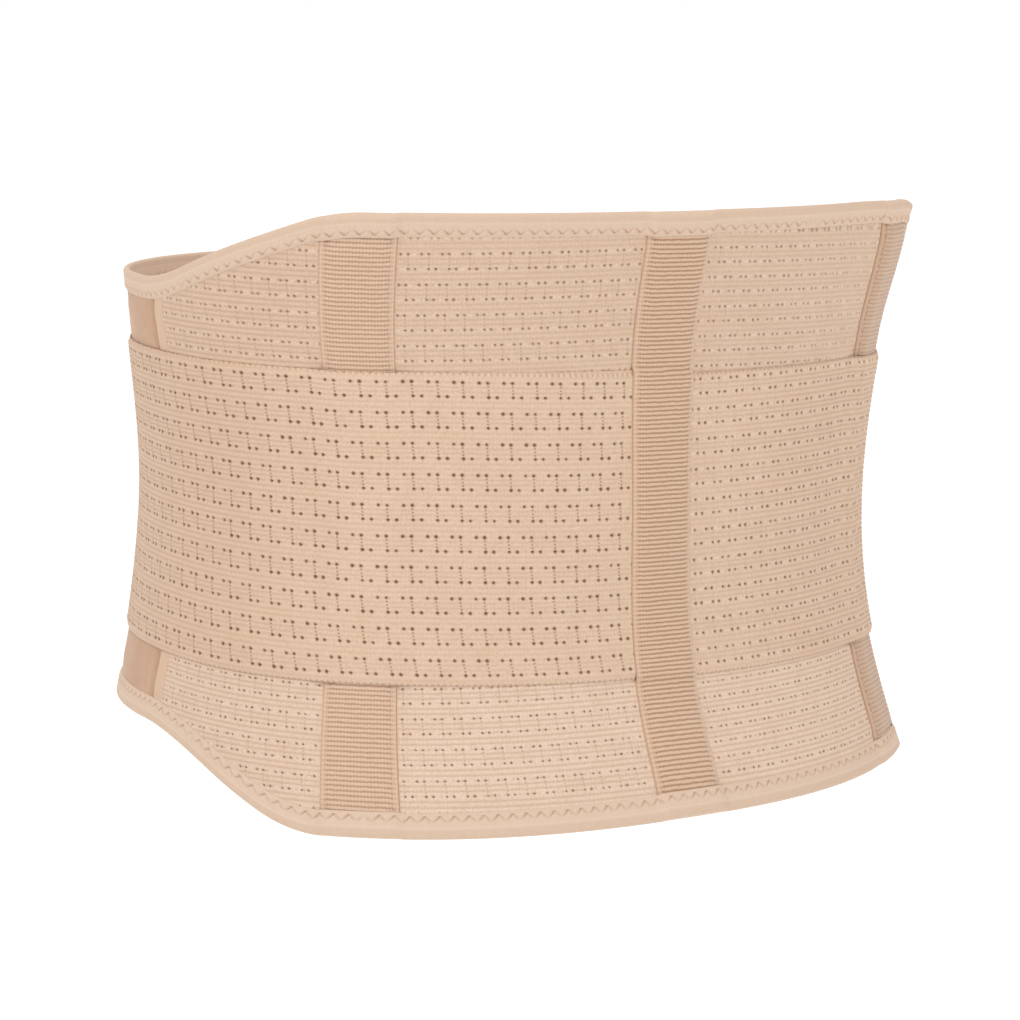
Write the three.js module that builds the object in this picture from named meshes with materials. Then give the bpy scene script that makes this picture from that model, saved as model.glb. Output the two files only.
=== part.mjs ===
// A wide elastic support belt for the lower back and abdomen, closed as it is when worn.
// Millimetres, +Z up. The wearer faces -Y and +X is the wearer's left.
// The origin is the middle of the waist, level with its narrowest girth.
//
// Every piece is drawn in belt coordinates: "along" runs round the waist from the spine, positive
// to the wearer's left, "height" is Z, and "lift" is the distance outwards from the wearer.

import * as THREE from "three";

const { clamp, lerp, smoothstep } = THREE.MathUtils;

// Inner face of the belt: half width, depth behind the middle and depth before it, at each height.
const TORSO = [
  { height: -130, halfWidth: 174, backDepth: 153, frontDepth: 124.5 },
  { height: -65, halfWidth: 159.5, backDepth: 121, frontDepth: 124.5 },
  { height: 0, halfWidth: 153, backDepth: 115, frontDepth: 123.5 },
  { height: 65, halfWidth: 163.5, backDepth: 115.5, frontDepth: 114.5 },
  { height: 130, halfWidth: 172.5, backDepth: 132, frontDepth: 105 },
];
const SQUARENESS = 2.3; // exponent of the rounded section, where 2 is an ellipse

// Outer edges of the belt: level over the back and at the front, and the slope between them.
// A bend is the share of the slope's length that is rounded there, and the lean is how much the
// edge drops over the back for each millimetre to the wearer's left.
const TOP_EDGE = {
  back: { level: 120, lean: 0.01 },
  front: { level: 85.7 },
  slope: { from: 127, to: 209, bendFrom: 0.22, bendTo: 0.22 },
};
const BOTTOM_EDGE = {
  back: { level: -120, lean: 0.025 },
  front: { level: -95.5 },
  slope: { from: 143, to: 198, bendFrom: 0.22, bendTo: 0.4 },
};
const LEAN_REACH = 135; // the lean stops growing this far from the spine

// Thickness of each layer, and the clear gap between layers.
const PANEL = 1.8;
const BAND = 1.6;
const CASING = 2;
const CASING_RIM = 1.2; // the casings are thinner along their long edges
const TAPE = 1.1;
const TAB = 1.8;
const GAP = 0.5;

// Where the pieces lie along the waist.
const SIDE_SEAM = 210.5;
const CASING_WIDTH = 27;
const CASING_PLACE = 118.5; // middle of each side casing
const CASING_RIM_WIDTH = 2;

// The two tension bands: upper and lower edge of each.
const BANDS = [
  { side: "left", sign: 1, top: 56.9, bottom: -67 },
  { side: "right", sign: -1, top: 54.9, bottom: -68.2 },
];
const BAND_START = 0.6;

// The closure, measured back from the middle of the front.
const OVER_PANEL_PAST = 70; // the left panel lies on top and reaches this far past the middle
const UNDER_PANEL_PAST = 50;
const OVERLAP_RISE = 5.4; // lifts the upper layers clear of the bound edge beneath them
const OVER_PANEL_CLIMB = { from: 78, to: 54 };
const RIGHT_BAND_CLIMB = { from: 94, to: 74 };
const BAND_END = 50;
const TAB_ROOT = 66;
const TAB_TIP = 8;
const TAB_MARGIN = 10; // the tab is this much narrower than its band, above and below
const TAB_CORNER = 14;

// Folded tape over the edges.
const TAPE_WIDTH = 10.5;
const FOLD_DEPTH = 1.6;
const PANEL_INSET = 2; // the panels stop this far inside the fold
const CASING_INSET = 3.6;

// How far a layer stays raised beside what it covers, and how long it takes to come down.
const COVER_MARGIN = 1.3;
const COVER_RAMP = 7;

// Spacing of the facets.
const STATION_STEP = 12;
const LEAST_STEP = 3;
const BACK_ROWS = 13;
const FRONT_ROWS = 10;
const BAND_ROWS = 7;
const TAB_ROWS = 6;
const TAB_CORNER_STEPS = 4;
const CASING_ROWS = 13;
const CENTRE_END_ROWS = 3;
const ARC_STEPS = 1440;
const BEND_SWEEPS = 40;

const MATERIALS = {
  knit: new THREE.MeshStandardMaterial({ color: 0xddbea5, roughness: 0.85, metalness: 0 }),
  velour: new THREE.MeshStandardMaterial({ color: 0xcbaa91, roughness: 0.95, metalness: 0 }),
  casing: new THREE.MeshStandardMaterial({ color: 0xd0b097, roughness: 0.8, metalness: 0 }),
  binding: new THREE.MeshStandardMaterial({ color: 0xe1c6af, roughness: 0.75, metalness: 0 }),
};

// The torso's surface

function signedPower(value, exponent) {
  return Math.sign(value) * Math.abs(value) ** exponent;
}

// Bends at the rows of one column of the torso table, for the smoothest curve through them.
function rowBends(column) {
  const sizes = TORSO.map((row) => row[column]);
  const bends = sizes.map(() => 0);
  for (let sweep = 0; sweep < BEND_SWEEPS; sweep++) {
    for (let i = 1; i + 1 < sizes.length; i++) {
      const kink = sizes[i - 1] - 2 * sizes[i] + sizes[i + 1];
      bends[i] = (6 * kink - bends[i - 1] - bends[i + 1]) / 4;
    }
  }
  return bends;
}

const BENDS = {
  halfWidth: rowBends("halfWidth"),
  backDepth: rowBends("backDepth"),
  frontDepth: rowBends("frontDepth"),
};

// One column of the torso table at any height, on that curve.
function torsoSize(column, height) {
  const spacing = TORSO[1].height - TORSO[0].height;
  const place = (height - TORSO[0].height) / spacing;
  const row = clamp(Math.floor(place), 0, TORSO.length - 2);
  const above = place - row;
  const below = 1 - above;
  const bow = (below ** 3 - below) * BENDS[column][row] + (above ** 3 - above) * BENDS[column][row + 1];
  return lerp(TORSO[row][column], TORSO[row + 1][column], above) + bow / 6;
}

function depthColumn(turn) {
  return Math.cos(turn) >= 0 ? "backDepth" : "frontDepth";
}

// A point of the torso, where a turn of zero is the spine and a quarter turn the wearer's left.
function torsoPoint(turn, height) {
  const x = torsoSize("halfWidth", height) * signedPower(Math.sin(turn), 2 / SQUARENESS);
  const y = torsoSize(depthColumn(turn), height) * signedPower(Math.cos(turn), 2 / SQUARENESS);
  return new THREE.Vector3(x, y, height);
}

// The outward normal there, from the slope of the rounded section and of its sizes with height.
function torsoNormal(turn, height) {
  const point = torsoPoint(turn, height);
  const width = torsoSize("halfWidth", height);
  const depth = torsoSize(depthColumn(turn), height);
  const grow = (column) => torsoSize(column, height + 0.5) - torsoSize(column, height - 0.5);
  const across = point.x / width;
  const behind = point.y / depth;
  const up =
    Math.abs(across) ** SQUARENESS * (grow("halfWidth") / width) +
    Math.abs(behind) ** SQUARENESS * (grow(depthColumn(turn)) / depth);
  const normal = new THREE.Vector3(
    signedPower(across, SQUARENESS - 1) / width,
    signedPower(behind, SQUARENESS - 1) / depth,
    -up,
  );
  return normal.normalize();
}

// Length along the waist from the spine at each of a set of equal turns, up to the front.
function waistLengths() {
  const lengths = [0];
  for (let i = 1; i <= ARC_STEPS; i++) {
    const before = torsoPoint((Math.PI * (i - 1)) / ARC_STEPS, 0);
    const after = torsoPoint((Math.PI * i) / ARC_STEPS, 0);
    lengths.push(lengths[i - 1] + before.distanceTo(after));
  }
  return lengths;
}

const WAIST_LENGTHS = waistLengths();
const FRONT = WAIST_LENGTHS[ARC_STEPS]; // the middle of the front, half the girth from the spine

function turnAt(along) {
  if (along < 0) {
    return -turnAt(-along);
  }
  if (along > FRONT) {
    return 2 * Math.PI - turnAt(2 * FRONT - along);
  }
  const after = Math.max(1, WAIST_LENGTHS.findIndex((length) => length >= along));
  const step = WAIST_LENGTHS[after] - WAIST_LENGTHS[after - 1];
  const share = (along - WAIST_LENGTHS[after - 1]) / step;
  return (Math.PI * (after - 1 + share)) / ARC_STEPS;
}

function beltPoint(along, height, lift) {
  const turn = turnAt(along);
  return torsoPoint(turn, height).addScaledVector(torsoNormal(turn, height), lift);
}

// Edges and layers

// Zero up to 0, equal to x beyond it, with a rounded bend between.
function hinge(x, bend) {
  if (Math.abs(x) >= bend) {
    return Math.max(x, 0);
  }
  return (x + bend) ** 2 / (4 * bend);
}

function edgeHeight({ back, front, slope }, along) {
  const x = (Math.abs(along) - slope.from) / (slope.to - slope.from);
  const share = hinge(x, slope.bendFrom) - hinge(x - 1, slope.bendTo);
  return lerp(back.level - back.lean * clamp(along, -LEAN_REACH, LEAN_REACH), front.level, share);
}

// One over a covered stretch, falling to zero beside it.
function cover(along, middle, halfWidth) {
  const edge = halfWidth + COVER_MARGIN;
  return 1 - smoothstep(Math.abs(along - middle), edge, edge + COVER_RAMP);
}

function coverSideCasings(along) {
  return cover(Math.abs(along), CASING_PLACE, CASING_WIDTH / 2);
}

function coverAllCasings(along) {
  return Math.max(coverSideCasings(along), cover(along, 0, CASING_WIDTH / 2));
}

function climb(along, span) {
  return OVERLAP_RISE * smoothstep(Math.abs(along), FRONT - span.from, FRONT - span.to);
}

// The left panel climbs over the right one near the front, and the right one stays on the wearer.
function panelRise(along) {
  return along > 0 ? climb(along, OVER_PANEL_CLIMB) : 0;
}

// Both bands end up on the left panel, so the right one climbs over its end.
function bandRise(along) {
  return climb(along, along > 0 ? OVER_PANEL_CLIMB : RIGHT_BAND_CLIMB);
}

function bandUnder(along) {
  return PANEL + GAP + bandRise(along) + coverSideCasings(along) * (CASING + GAP);
}

// Stations: the places along the waist where the facets of every piece meet

function keyStations() {
  const ramp = [COVER_MARGIN, COVER_MARGIN + COVER_RAMP].map((margin) => margin + CASING_WIDTH / 2);
  const left = [SIDE_SEAM];
  for (const reach of ramp) {
    left.push(reach, CASING_PLACE - reach, CASING_PLACE + reach);
  }
  const climbs = [OVER_PANEL_CLIMB.from, OVER_PANEL_CLIMB.to].map((back) => FRONT - back);
  const rightClimbs = [RIGHT_BAND_CLIMB.from, RIGHT_BAND_CLIMB.to].map((back) => back - FRONT);
  return [...left, ...left.map((along) => -along), ...climbs, ...rightClimbs];
}

const KEY_STATIONS = keyStations();

function stations(from, to) {
  const inside = (along) => along > from + 1e-6 && along < to - 1e-6;
  const fixed = [from, ...KEY_STATIONS.filter(inside), to];
  const even = [];
  for (let i = Math.ceil(from / STATION_STEP); i * STATION_STEP < to; i++) {
    even.push(i * STATION_STEP);
  }
  const clear = even.filter((along) => fixed.every((key) => Math.abs(along - key) >= LEAST_STEP));
  return [...fixed, ...clear].sort((a, b) => a - b);
}

function sideStations(sign, from, to) {
  return sign > 0 ? stations(from, to) : stations(-to, -from);
}

function heights(low, high, rows) {
  return Array.from({ length: rows + 1 }, (_, i) => low + ((high - low) * i) / rows);
}

// Solids

// A closed solid swept along the belt. At each station its section is a row of pairs: a point of
// the face and the point below it, each as height and lift, from the lower edge to the upper one.
function sweep(along, sectionAt) {
  const positions = [];
  const faces = [];
  let pairs = 0;
  for (const station of along) {
    const section = sectionAt(station);
    pairs = section.length;
    const ring = [...section.map((pair) => pair[0]), ...section.map((pair) => pair[1]).reverse()];
    for (const [height, lift] of ring) {
      positions.push(...beltPoint(station, height, lift));
    }
  }
  const ringSize = 2 * pairs;
  const quad = (a, b, c, d) => faces.push(a, b, c, a, c, d);
  for (let i = 0; i + 1 < along.length; i++) {
    for (let j = 0; j < ringSize; j++) {
      const next = (j + 1) % ringSize;
      const here = i * ringSize;
      const there = here + ringSize;
      quad(here + j, here + next, there + next, there + j);
    }
  }
  const end = (along.length - 1) * ringSize;
  for (let j = 0; j + 1 < pairs; j++) {
    const below = ringSize - 1 - j;
    quad(below, below - 1, j + 1, j);
    quad(end + j, end + j + 1, end + below - 1, end + below);
  }
  const geometry = new THREE.BufferGeometry();
  geometry.setAttribute("position", new THREE.Float32BufferAttribute(positions, 3));
  geometry.setIndex(faces);
  geometry.computeVertexNormals();
  return geometry;
}

const belt = new THREE.Group();

function addPiece(name, material, along, sectionAt) {
  const mesh = new THREE.Mesh(sweep(along, sectionAt), material);
  mesh.name = name;
  belt.add(mesh);
}

// A sheet of even thickness: heights of its rows, and the lift of its inner face, at each station.
function sheetSection(heightsAt, innerAt, thickness) {
  return (along) =>
    heightsAt(along).map((height) => {
      const inner = innerAt(along, height);
      return [[height, inner + thickness], [height, inner]];
    });
}

// Heights of the rows of a piece whose ends lie inside the folded tape, with a row at the tape's rim.
function boundHeights(along, inset, rows) {
  const low = edgeHeight(BOTTOM_EDGE, along);
  const high = edgeHeight(TOP_EDGE, along);
  return [low + inset, ...heights(low + TAPE_WIDTH, high - TAPE_WIDTH, rows - 2), high - inset];
}

function panelHeights(rows) {
  return (along) => boundHeights(along, PANEL_INSET, rows);
}

function addPanels() {
  const edge = SIDE_SEAM - GAP / 2;
  addPiece("back_panel", MATERIALS.knit, stations(-edge, edge),
    sheetSection(panelHeights(BACK_ROWS), panelRise, PANEL));
  const start = SIDE_SEAM + GAP / 2;
  addPiece("front_panel_left", MATERIALS.velour, sideStations(1, start, FRONT + OVER_PANEL_PAST),
    sheetSection(panelHeights(FRONT_ROWS), panelRise, PANEL));
  addPiece("front_panel_right", MATERIALS.velour, sideStations(-1, start, FRONT + UNDER_PANEL_PAST),
    sheetSection(panelHeights(FRONT_ROWS), panelRise, PANEL));
}

function addBand({ side, sign, top, bottom }) {
  addPiece(`tension_band_${side}`, MATERIALS.knit, sideStations(sign, BAND_START, FRONT - BAND_END),
    sheetSection(() => heights(bottom, top, BAND_ROWS), bandUnder, BAND));
}

// The tab lies on the end of its band, comes down past it and has round corners.
function addTab({ side, sign, top, bottom }) {
  const from = FRONT - TAB_ROOT;
  const to = FRONT - TAB_TIP;
  const bandEnd = FRONT - BAND_END;
  const landing = bandEnd + COVER_MARGIN + COVER_RAMP;
  const corner = heights(to - TAB_CORNER, to, TAB_CORNER_STEPS).slice(1);
  const places = [
    ...stations(from, bandEnd + COVER_MARGIN),
    ...stations(landing, to - TAB_CORNER),
    ...corner,
  ];
  const drop = (along) => {
    const inside = clamp((along - (to - TAB_CORNER)) / TAB_CORNER, 0, 1);
    return TAB_MARGIN + TAB_CORNER * (1 - Math.sqrt(1 - inside ** 2));
  };
  const under = (along) => {
    const past = Math.abs(along) - bandEnd - COVER_MARGIN;
    return PANEL + GAP + OVERLAP_RISE + (BAND + GAP) * (1 - smoothstep(past, 0, COVER_RAMP));
  };
  const rows = (along) => heights(bottom + drop(Math.abs(along)), top - drop(Math.abs(along)), TAB_ROWS);
  const along = places.map((place) => sign * place).sort((a, b) => a - b);
  addPiece(`closure_tab_${side}`, MATERIALS.velour, along, sheetSection(rows, under, TAB));
}

// A casing is full in the middle and thins to a rim along its long edges.
function casingSection(middle, rowsAt, innerAt) {
  return (along) => {
    const fromRim = CASING_WIDTH / 2 - Math.abs(along - middle);
    const thickness = CASING_RIM + (CASING - CASING_RIM) * smoothstep(fromRim, 0, CASING_RIM_WIDTH);
    return sheetSection(rowsAt, innerAt, thickness)(along);
  };
}

function addSideCasing({ side, sign }) {
  const middle = sign * CASING_PLACE;
  const rowsAt = (along) => boundHeights(along, CASING_INSET, CASING_ROWS);
  addPiece(`stay_casing_${side}`, MATERIALS.casing,
    stations(middle - CASING_WIDTH / 2, middle + CASING_WIDTH / 2),
    casingSection(middle, rowsAt, () => PANEL + GAP));
}

// The middle casing covers the ends of both bands, and comes down to the panel above and below.
function addCentreCasing() {
  const bandTop = Math.max(...BANDS.map((band) => band.top));
  const bandBottom = Math.min(...BANDS.map((band) => band.bottom));
  const middle = (bandTop + bandBottom) / 2;
  const halfHeight = (bandTop - bandBottom) / 2;
  const raised = halfHeight + COVER_MARGIN;
  const innerAt = (along, height) => PANEL + GAP + cover(height, middle, halfHeight) * (BAND + GAP);
  const rowsAt = (along) => {
    const [low, lowRim, highRim, high] = boundHeights(along, CASING_INSET, 3);
    const plateau = heights(middle - raised, middle + raised, BAND_ROWS);
    const foot = heights(lowRim, middle - raised - COVER_RAMP, CENTRE_END_ROWS);
    const head = heights(middle + raised + COVER_RAMP, highRim, CENTRE_END_ROWS);
    return [low, ...foot, ...plateau, ...head, high];
  };
  addPiece("stay_casing_centre", MATERIALS.casing, stations(-CASING_WIDTH / 2, CASING_WIDTH / 2),
    casingSection(0, rowsAt, innerAt));
}

// Tape folded over an edge: an outer leg, a rounded fold and an inner leg.
function bindingSection(edge, up) {
  return (along) => {
    const height = (depth) => edgeHeight(edge, along) - up * depth;
    const base = panelRise(along);
    const under = base + PANEL + GAP + coverAllCasings(along) * (CASING + GAP);
    const inside = base - GAP;
    const crest = (under + inside) / 2;
    const rows = [
      [[height(TAPE_WIDTH), under + TAPE], [height(TAPE_WIDTH), under]],
      [[height(FOLD_DEPTH), under + TAPE], [height(FOLD_DEPTH), under]],
      [[height(0), crest], [height(TAPE), crest]],
      [[height(FOLD_DEPTH), inside - TAPE], [height(FOLD_DEPTH), inside]],
      [[height(TAPE_WIDTH), inside - TAPE], [height(TAPE_WIDTH), inside]],
    ];
    return up > 0 ? rows : rows.reverse();
  };
}

function addBindings() {
  const along = stations(-(FRONT + UNDER_PANEL_PAST), FRONT + OVER_PANEL_PAST);
  addPiece("top_binding", MATERIALS.binding, along, bindingSection(TOP_EDGE, 1));
  addPiece("bottom_binding", MATERIALS.binding, along, bindingSection(BOTTOM_EDGE, -1));
}

addPanels();
addBindings();
addCentreCasing();
for (const band of BANDS) {
  addSideCasing(band);
  addBand(band);
  addTab(band);
}

export default belt;
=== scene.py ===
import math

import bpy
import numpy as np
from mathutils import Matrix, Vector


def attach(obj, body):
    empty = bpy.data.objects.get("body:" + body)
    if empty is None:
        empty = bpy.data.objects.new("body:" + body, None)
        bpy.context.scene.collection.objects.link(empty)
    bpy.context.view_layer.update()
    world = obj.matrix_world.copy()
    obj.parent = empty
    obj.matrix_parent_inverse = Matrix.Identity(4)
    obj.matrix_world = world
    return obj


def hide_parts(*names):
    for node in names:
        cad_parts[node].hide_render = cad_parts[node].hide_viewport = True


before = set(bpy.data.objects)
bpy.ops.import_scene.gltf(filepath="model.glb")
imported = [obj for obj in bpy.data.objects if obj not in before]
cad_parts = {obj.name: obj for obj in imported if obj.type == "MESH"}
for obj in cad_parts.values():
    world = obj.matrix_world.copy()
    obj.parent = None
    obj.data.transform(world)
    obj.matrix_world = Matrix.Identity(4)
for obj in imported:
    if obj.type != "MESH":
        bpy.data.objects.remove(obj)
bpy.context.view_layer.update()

# Dresses a wide elastic support belt that is closed as worn: perforated knit over the back, velour
# fronts, folded edge tape, ribbed stay casings, tension bands, closure tabs and their stitches.
# Sizes are in millimetres and become metres where a mesh, light or camera is made.
# Belt coordinates: "along" runs round the waist from the spine, positive to the wearer's left,
# "height" is Z and "lift" is the distance outwards from the wearer.

MM = 0.001

# Inner face of the belt: half width, and depth behind and before the middle, at each height.
TORSO = {
    "height": (-130, -65, 0, 65, 130),
    "half_width": (174, 159.5, 153, 163.5, 172.5),
    "back_depth": (153, 121, 115, 115.5, 132),
    "front_depth": (124.5, 124.5, 123.5, 114.5, 105),
}
FLARE = {"lift": 2.3, "height": (62, 104), "rise": (85, 115), "fall": (150, 215)}  # at the upper right
SQUARENESS = 2.3  # exponent of the rounded section, where 2 is an ellipse
BEND_SWEEPS = 40
ARC_STEPS = 1440
SLOPE_STEP = 0.5  # slopes with height are taken over this much above and below

# Outer edges: level over the back and at the front, and the slope between them.
TOP_EDGE = {"back": 119.2, "lean": 0.01, "front": 85.2, "slope": (127, 209), "bends": (0.14, 0.22)}
BOTTOM_EDGE = {"back": -120, "lean": 0.025, "front": -95.5, "slope": (143, 198), "bends": (0.22, 0.4)}
LEAN_REACH = 135

# Thickness of each layer, and the clear gap between layers, which lie closer than the solids do.
PANEL = 1.8
PANEL_EDGE = 1.2  # under the edge tape
PANEL_TAPER = 6
BAND = 1.5
TAPE = 0.8
TAB = 1.8
GAP = 0.05
SEAM_GAP = 0.01

# Where the pieces lie.
SIDE_SEAM = 216.5
SEAM_STRIP = 7.5
SEAM_STRIP_STEPS = 8
SEAM_RIDGE = 0.08
SIDE_LIFT = 1.2  # a band stands this much further off at the wearer's side
SIDE_REACH = (185, 225)
BAND_HALF = 62
CASING_WIDTH = 27
BAND_START = 0.6
BAND_END = 50
OVER_PANEL_PAST = 70
UNDER_PANEL_PAST = 50
OVERLAP_RISE = 5.4
OVER_PANEL_CLIMB = (78, 54)
RIGHT_BAND_CLIMB = (94, 74)
TAB_ROOT = 66
TAB_TIP = 8
TAB_MARGIN = 10
TAB_CORNER = 14
TAPE_WIDTH = 9.2
FOLD_DEPTH = 1.6
PANEL_INSET = 2
CASING_INSET = 3.6
COVER_MARGIN = 1.3
COVER_RAMP = 7

# Course of each casing down the back: its place at mid height, its lean and its bend with height.
CASING_COURSES = {
    "left": (118.3, -0.005, 0.0),
    "centre": (-0.9, 0.0115, 0.0),
    "right": (-125.3, 0.016, 3.8e-4),
}
CASING_BODY = 1.9
CASING_DOMES = {"left": 0.5, "centre": 0.4, "right": 1.0}  # the stay inside swells the casing by this
DOME_RAMP = 7.5
CASING_END = 2.0  # thickness of a casing where the edge tape holds it
CASING_TAPER = (0.3, 6)  # a casing thickens between these distances from the edge tape
TAPE_CLIMB = (-1.6, 2.4)  # the edge tape climbs onto a casing between these distances inside its rim
BULGE_REACH = (7, 21)  # a band that crosses a casing comes down between these distances from its middle

# The knit. Holes come in pairs, low and high, at these shares of a repeat. A meander of holes is
# six ribs tall and its upper pair lies three ribs above its lower pair.
LOW_HOLES = (0.0, 0.337)
HIGH_HOLES = (0.40, 0.745)
MEANDER_RIBS = 6
RISE_RIBS = 3
STEPS_PER_RIB = 3
HOLE_SNAP = 0.05  # a column this close to the middle of a hole carries it
CLEAR_OF_HOLES = 0.9  # a column beside a hole keeps this many radii from the next hole
BASE_KNIT = {"repeat": 7.12, "phase": 0.0, "hole": 0.42, "pit": 0.85, "rib": 0.4}
BAND_KNIT = {"repeat": 9.35, "phase": 5.1, "hole": 0.52, "pit": 0.9, "rib": 0.36}
RIGHT_BAND_KNIT = {**BAND_KNIT, "repeat": 8.7, "phase": -3.5}

# Rows of the base knit above and below the bands: level of a lower pair of holes at the spine,
# spacing of the meanders, rise between the pairs, first and last rib, and the drop for each
# millimetre to the wearer's left and right.
UPPER_ROWS = {"level": 62.5, "pitch": 12.1, "rise": 5.85, "ribs": (-5, 24), "drop": (0.022, 0.02)}
LOWER_ROWS = {"level": -106.1, "pitch": 11.27, "rise": 5.4, "ribs": (-3, 23), "drop": (0.0145, -0.0145)}
DROP_REACH = 105
BAND_ROWS = {"pitch": 12.23, "rise": 5.65, "ribs": (-3, 60)}
BAND_FIRST_ROW = 4.1  # the lowest holes lie this far above the band's lower edge
HIDDEN_ROW_STEP = 12
HIDDEN_COLUMN_STEP = 8
HIDDEN_MARGIN = 3
EDGE_ROW_STEP = 3
EDGE_ROWS = 5

BANDS = (
    {"side": "left", "sign": 1, "top": 56.2, "bottom": -67, "sag": (1.0, 2.3), "knit": BAND_KNIT},
    {"side": "right", "sign": -1, "top": 53.9, "bottom": -68.2, "sag": (0.5, 0.9), "knit": RIGHT_BAND_KNIT},
)
SAG_REACH = (10, 120)  # near the spine a band hangs lower, by its sag at the bottom and at the top
EDGE_SAG = 0.6

# Ribbed tape of the casings
TAPE_RIB = 1.78
TAPE_RIB_DEPTH = 0.32
TAPE_RIB_PROFILE = (1, 0.4, 0, 0.4)  # share of that depth at each step across a rib

# Stitches
ZIGZAG_PITCH = 5.0
ZIGZAG_DEPTHS = (5.4, 7.9)  # needle rows, measured from the belt's edge
STITCH = 2.6
STITCH_GAP = 0.7
THREAD = 0.2
STITCH_SINK = 0.08
THREAD_SEAT = 0.4 * THREAD  # the middle of a thread lies this far from the face of the cloth
SEAM_END = 1  # the stitches of a casing stop this far from the edge tape
TAB_SEAM_INSETS = (3, 9)


# The torso's surface

def signed_power(value, exponent):
    return np.sign(value) * np.abs(value) ** exponent


def row_bends(sizes):
    """Bends at the rows of one torso column, for the smoothest curve through them."""
    bends = np.zeros(len(sizes))
    for _ in range(BEND_SWEEPS):
        for i in range(1, len(sizes) - 1):
            kink = sizes[i - 1] - 2 * sizes[i] + sizes[i + 1]
            bends[i] = (6 * kink - bends[i - 1] - bends[i + 1]) / 4
    return bends


BENDS = {column: row_bends(TORSO[column]) for column in TORSO}


def torso_size(column, height):
    """One column of the torso table at any height."""
    sizes = np.array(TORSO[column], float)
    levels = TORSO["height"]
    place = (height - levels[0]) / (levels[1] - levels[0])
    row = np.clip(np.floor(place), 0, len(levels) - 2).astype(int)
    above = place - row
    below = 1 - above
    bends = BENDS[column]
    bow = (below**3 - below) * bends[row] + (above**3 - above) * bends[row + 1]
    return sizes[row] * below + sizes[row + 1] * above + bow / 6


def torso_depth(turn, height):
    behind = torso_size("back_depth", height)
    before = torso_size("front_depth", height)
    return np.where(np.cos(turn) >= 0, behind, before)


def torso_point(turn, height):
    x = torso_size("half_width", height) * signed_power(np.sin(turn), 2 / SQUARENESS)
    y = torso_depth(turn, height) * signed_power(np.cos(turn), 2 / SQUARENESS)
    return np.stack([x, y, height], -1)


def torso_normal(turn, height):
    """Outward normal, from the slope of the section and of its sizes with height."""
    point = torso_point(turn, height)
    width = torso_size("half_width", height)
    depth = torso_depth(turn, height)
    above, below = height + SLOPE_STEP, height - SLOPE_STEP
    widening = torso_size("half_width", above) - torso_size("half_width", below)
    deepening = torso_depth(turn, above) - torso_depth(turn, below)
    across = point[..., 0] / width
    behind = point[..., 1] / depth
    up = np.abs(across) ** SQUARENESS * widening / width + np.abs(behind) ** SQUARENESS * deepening / depth
    x = signed_power(across, SQUARENESS - 1) / width
    y = signed_power(behind, SQUARENESS - 1) / depth
    normal = np.stack([x, y, -up], -1)
    return normal / np.linalg.norm(normal, axis=-1, keepdims=True)


TURNS = np.linspace(0, math.pi, ARC_STEPS + 1)
WAIST = torso_point(TURNS, np.zeros_like(TURNS))
WAIST_LENGTHS = np.append(0, np.cumsum(np.linalg.norm(np.diff(WAIST, axis=0), axis=1)))
FRONT = WAIST_LENGTHS[-1]  # the middle of the front, half the girth from the spine


def turn_at(along):
    length = np.abs(along)
    near = np.interp(length, WAIST_LENGTHS, TURNS)
    past = 2 * math.pi - np.interp(2 * FRONT - length, WAIST_LENGTHS, TURNS)
    return np.sign(along) * np.where(length > FRONT, past, near)


def smoothstep(value, low, high):
    share = np.clip((value - low) / (high - low), 0, 1)
    return share * share * (3 - 2 * share)


def flare(along, height):
    """How far the belt stands off the torso, near the top of the right casing."""
    beside = smoothstep(-along, *FLARE["rise"]) * (1 - smoothstep(-along, *FLARE["fall"]))
    return FLARE["lift"] * smoothstep(height, *FLARE["height"]) * beside


def belt_point(along, height, lift):
    along, height, lift = np.broadcast_arrays(along, height, lift)
    height = height.astype(float)
    turn = turn_at(along)
    lift = lift + flare(along, height)
    return torso_point(turn, height) + torso_normal(turn, height) * lift[..., None]


# Edges and layers

def hinge(x, bend):
    """Zero up to 0, equal to x beyond it, with a rounded bend between."""
    return np.where(np.abs(x) >= bend, np.maximum(x, 0), (x + bend) ** 2 / (4 * bend))


def edge_height(edge, along):
    start, end = edge["slope"]
    x = (np.abs(along) - start) / (end - start)
    share = hinge(x, edge["bends"][0]) - hinge(x - 1, edge["bends"][1])
    back = edge["back"] - edge["lean"] * np.clip(along, -LEAN_REACH, LEAN_REACH)
    return back + (edge["front"] - back) * share


def cover(place, middle, half_width):
    """One over a covered stretch, falling to zero beside it."""
    edge = half_width + COVER_MARGIN
    return 1 - smoothstep(np.abs(place - middle), edge, edge + COVER_RAMP)


def casing_middle(side, heights):
    place, lean, bend = CASING_COURSES[side]
    return place + lean * heights + bend * heights**2


def casing_bulge(side, along, heights):
    """How far a band stands off the panel where it crosses a casing."""
    beside = np.abs(along - casing_middle(side, heights))
    return (CASING_BODY + CASING_DOMES[side] + GAP) * (1 - smoothstep(beside, *BULGE_REACH))


CASING_STEP = (-0.9, 2.2)  # the centre casing comes down between these distances past a band's edge
BAND_MEETING = 3
PRESSED = (0.3, 1.1)  # the knit rises to its full relief between these distances from what covers it


def under_casing(side, along, heights):
    """One under a casing and just beside it, where the knit lies pressed flat."""
    beside = np.abs(along - casing_middle(side, heights)) - CASING_WIDTH / 2
    return 1 - smoothstep(beside, *PRESSED)


def band_edges(band, along):
    near_spine = 1 - smoothstep(np.abs(along), *SAG_REACH)
    return band["bottom"] - band["sag"][0] * near_spine, band["top"] - EDGE_SAG * near_spine


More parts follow.
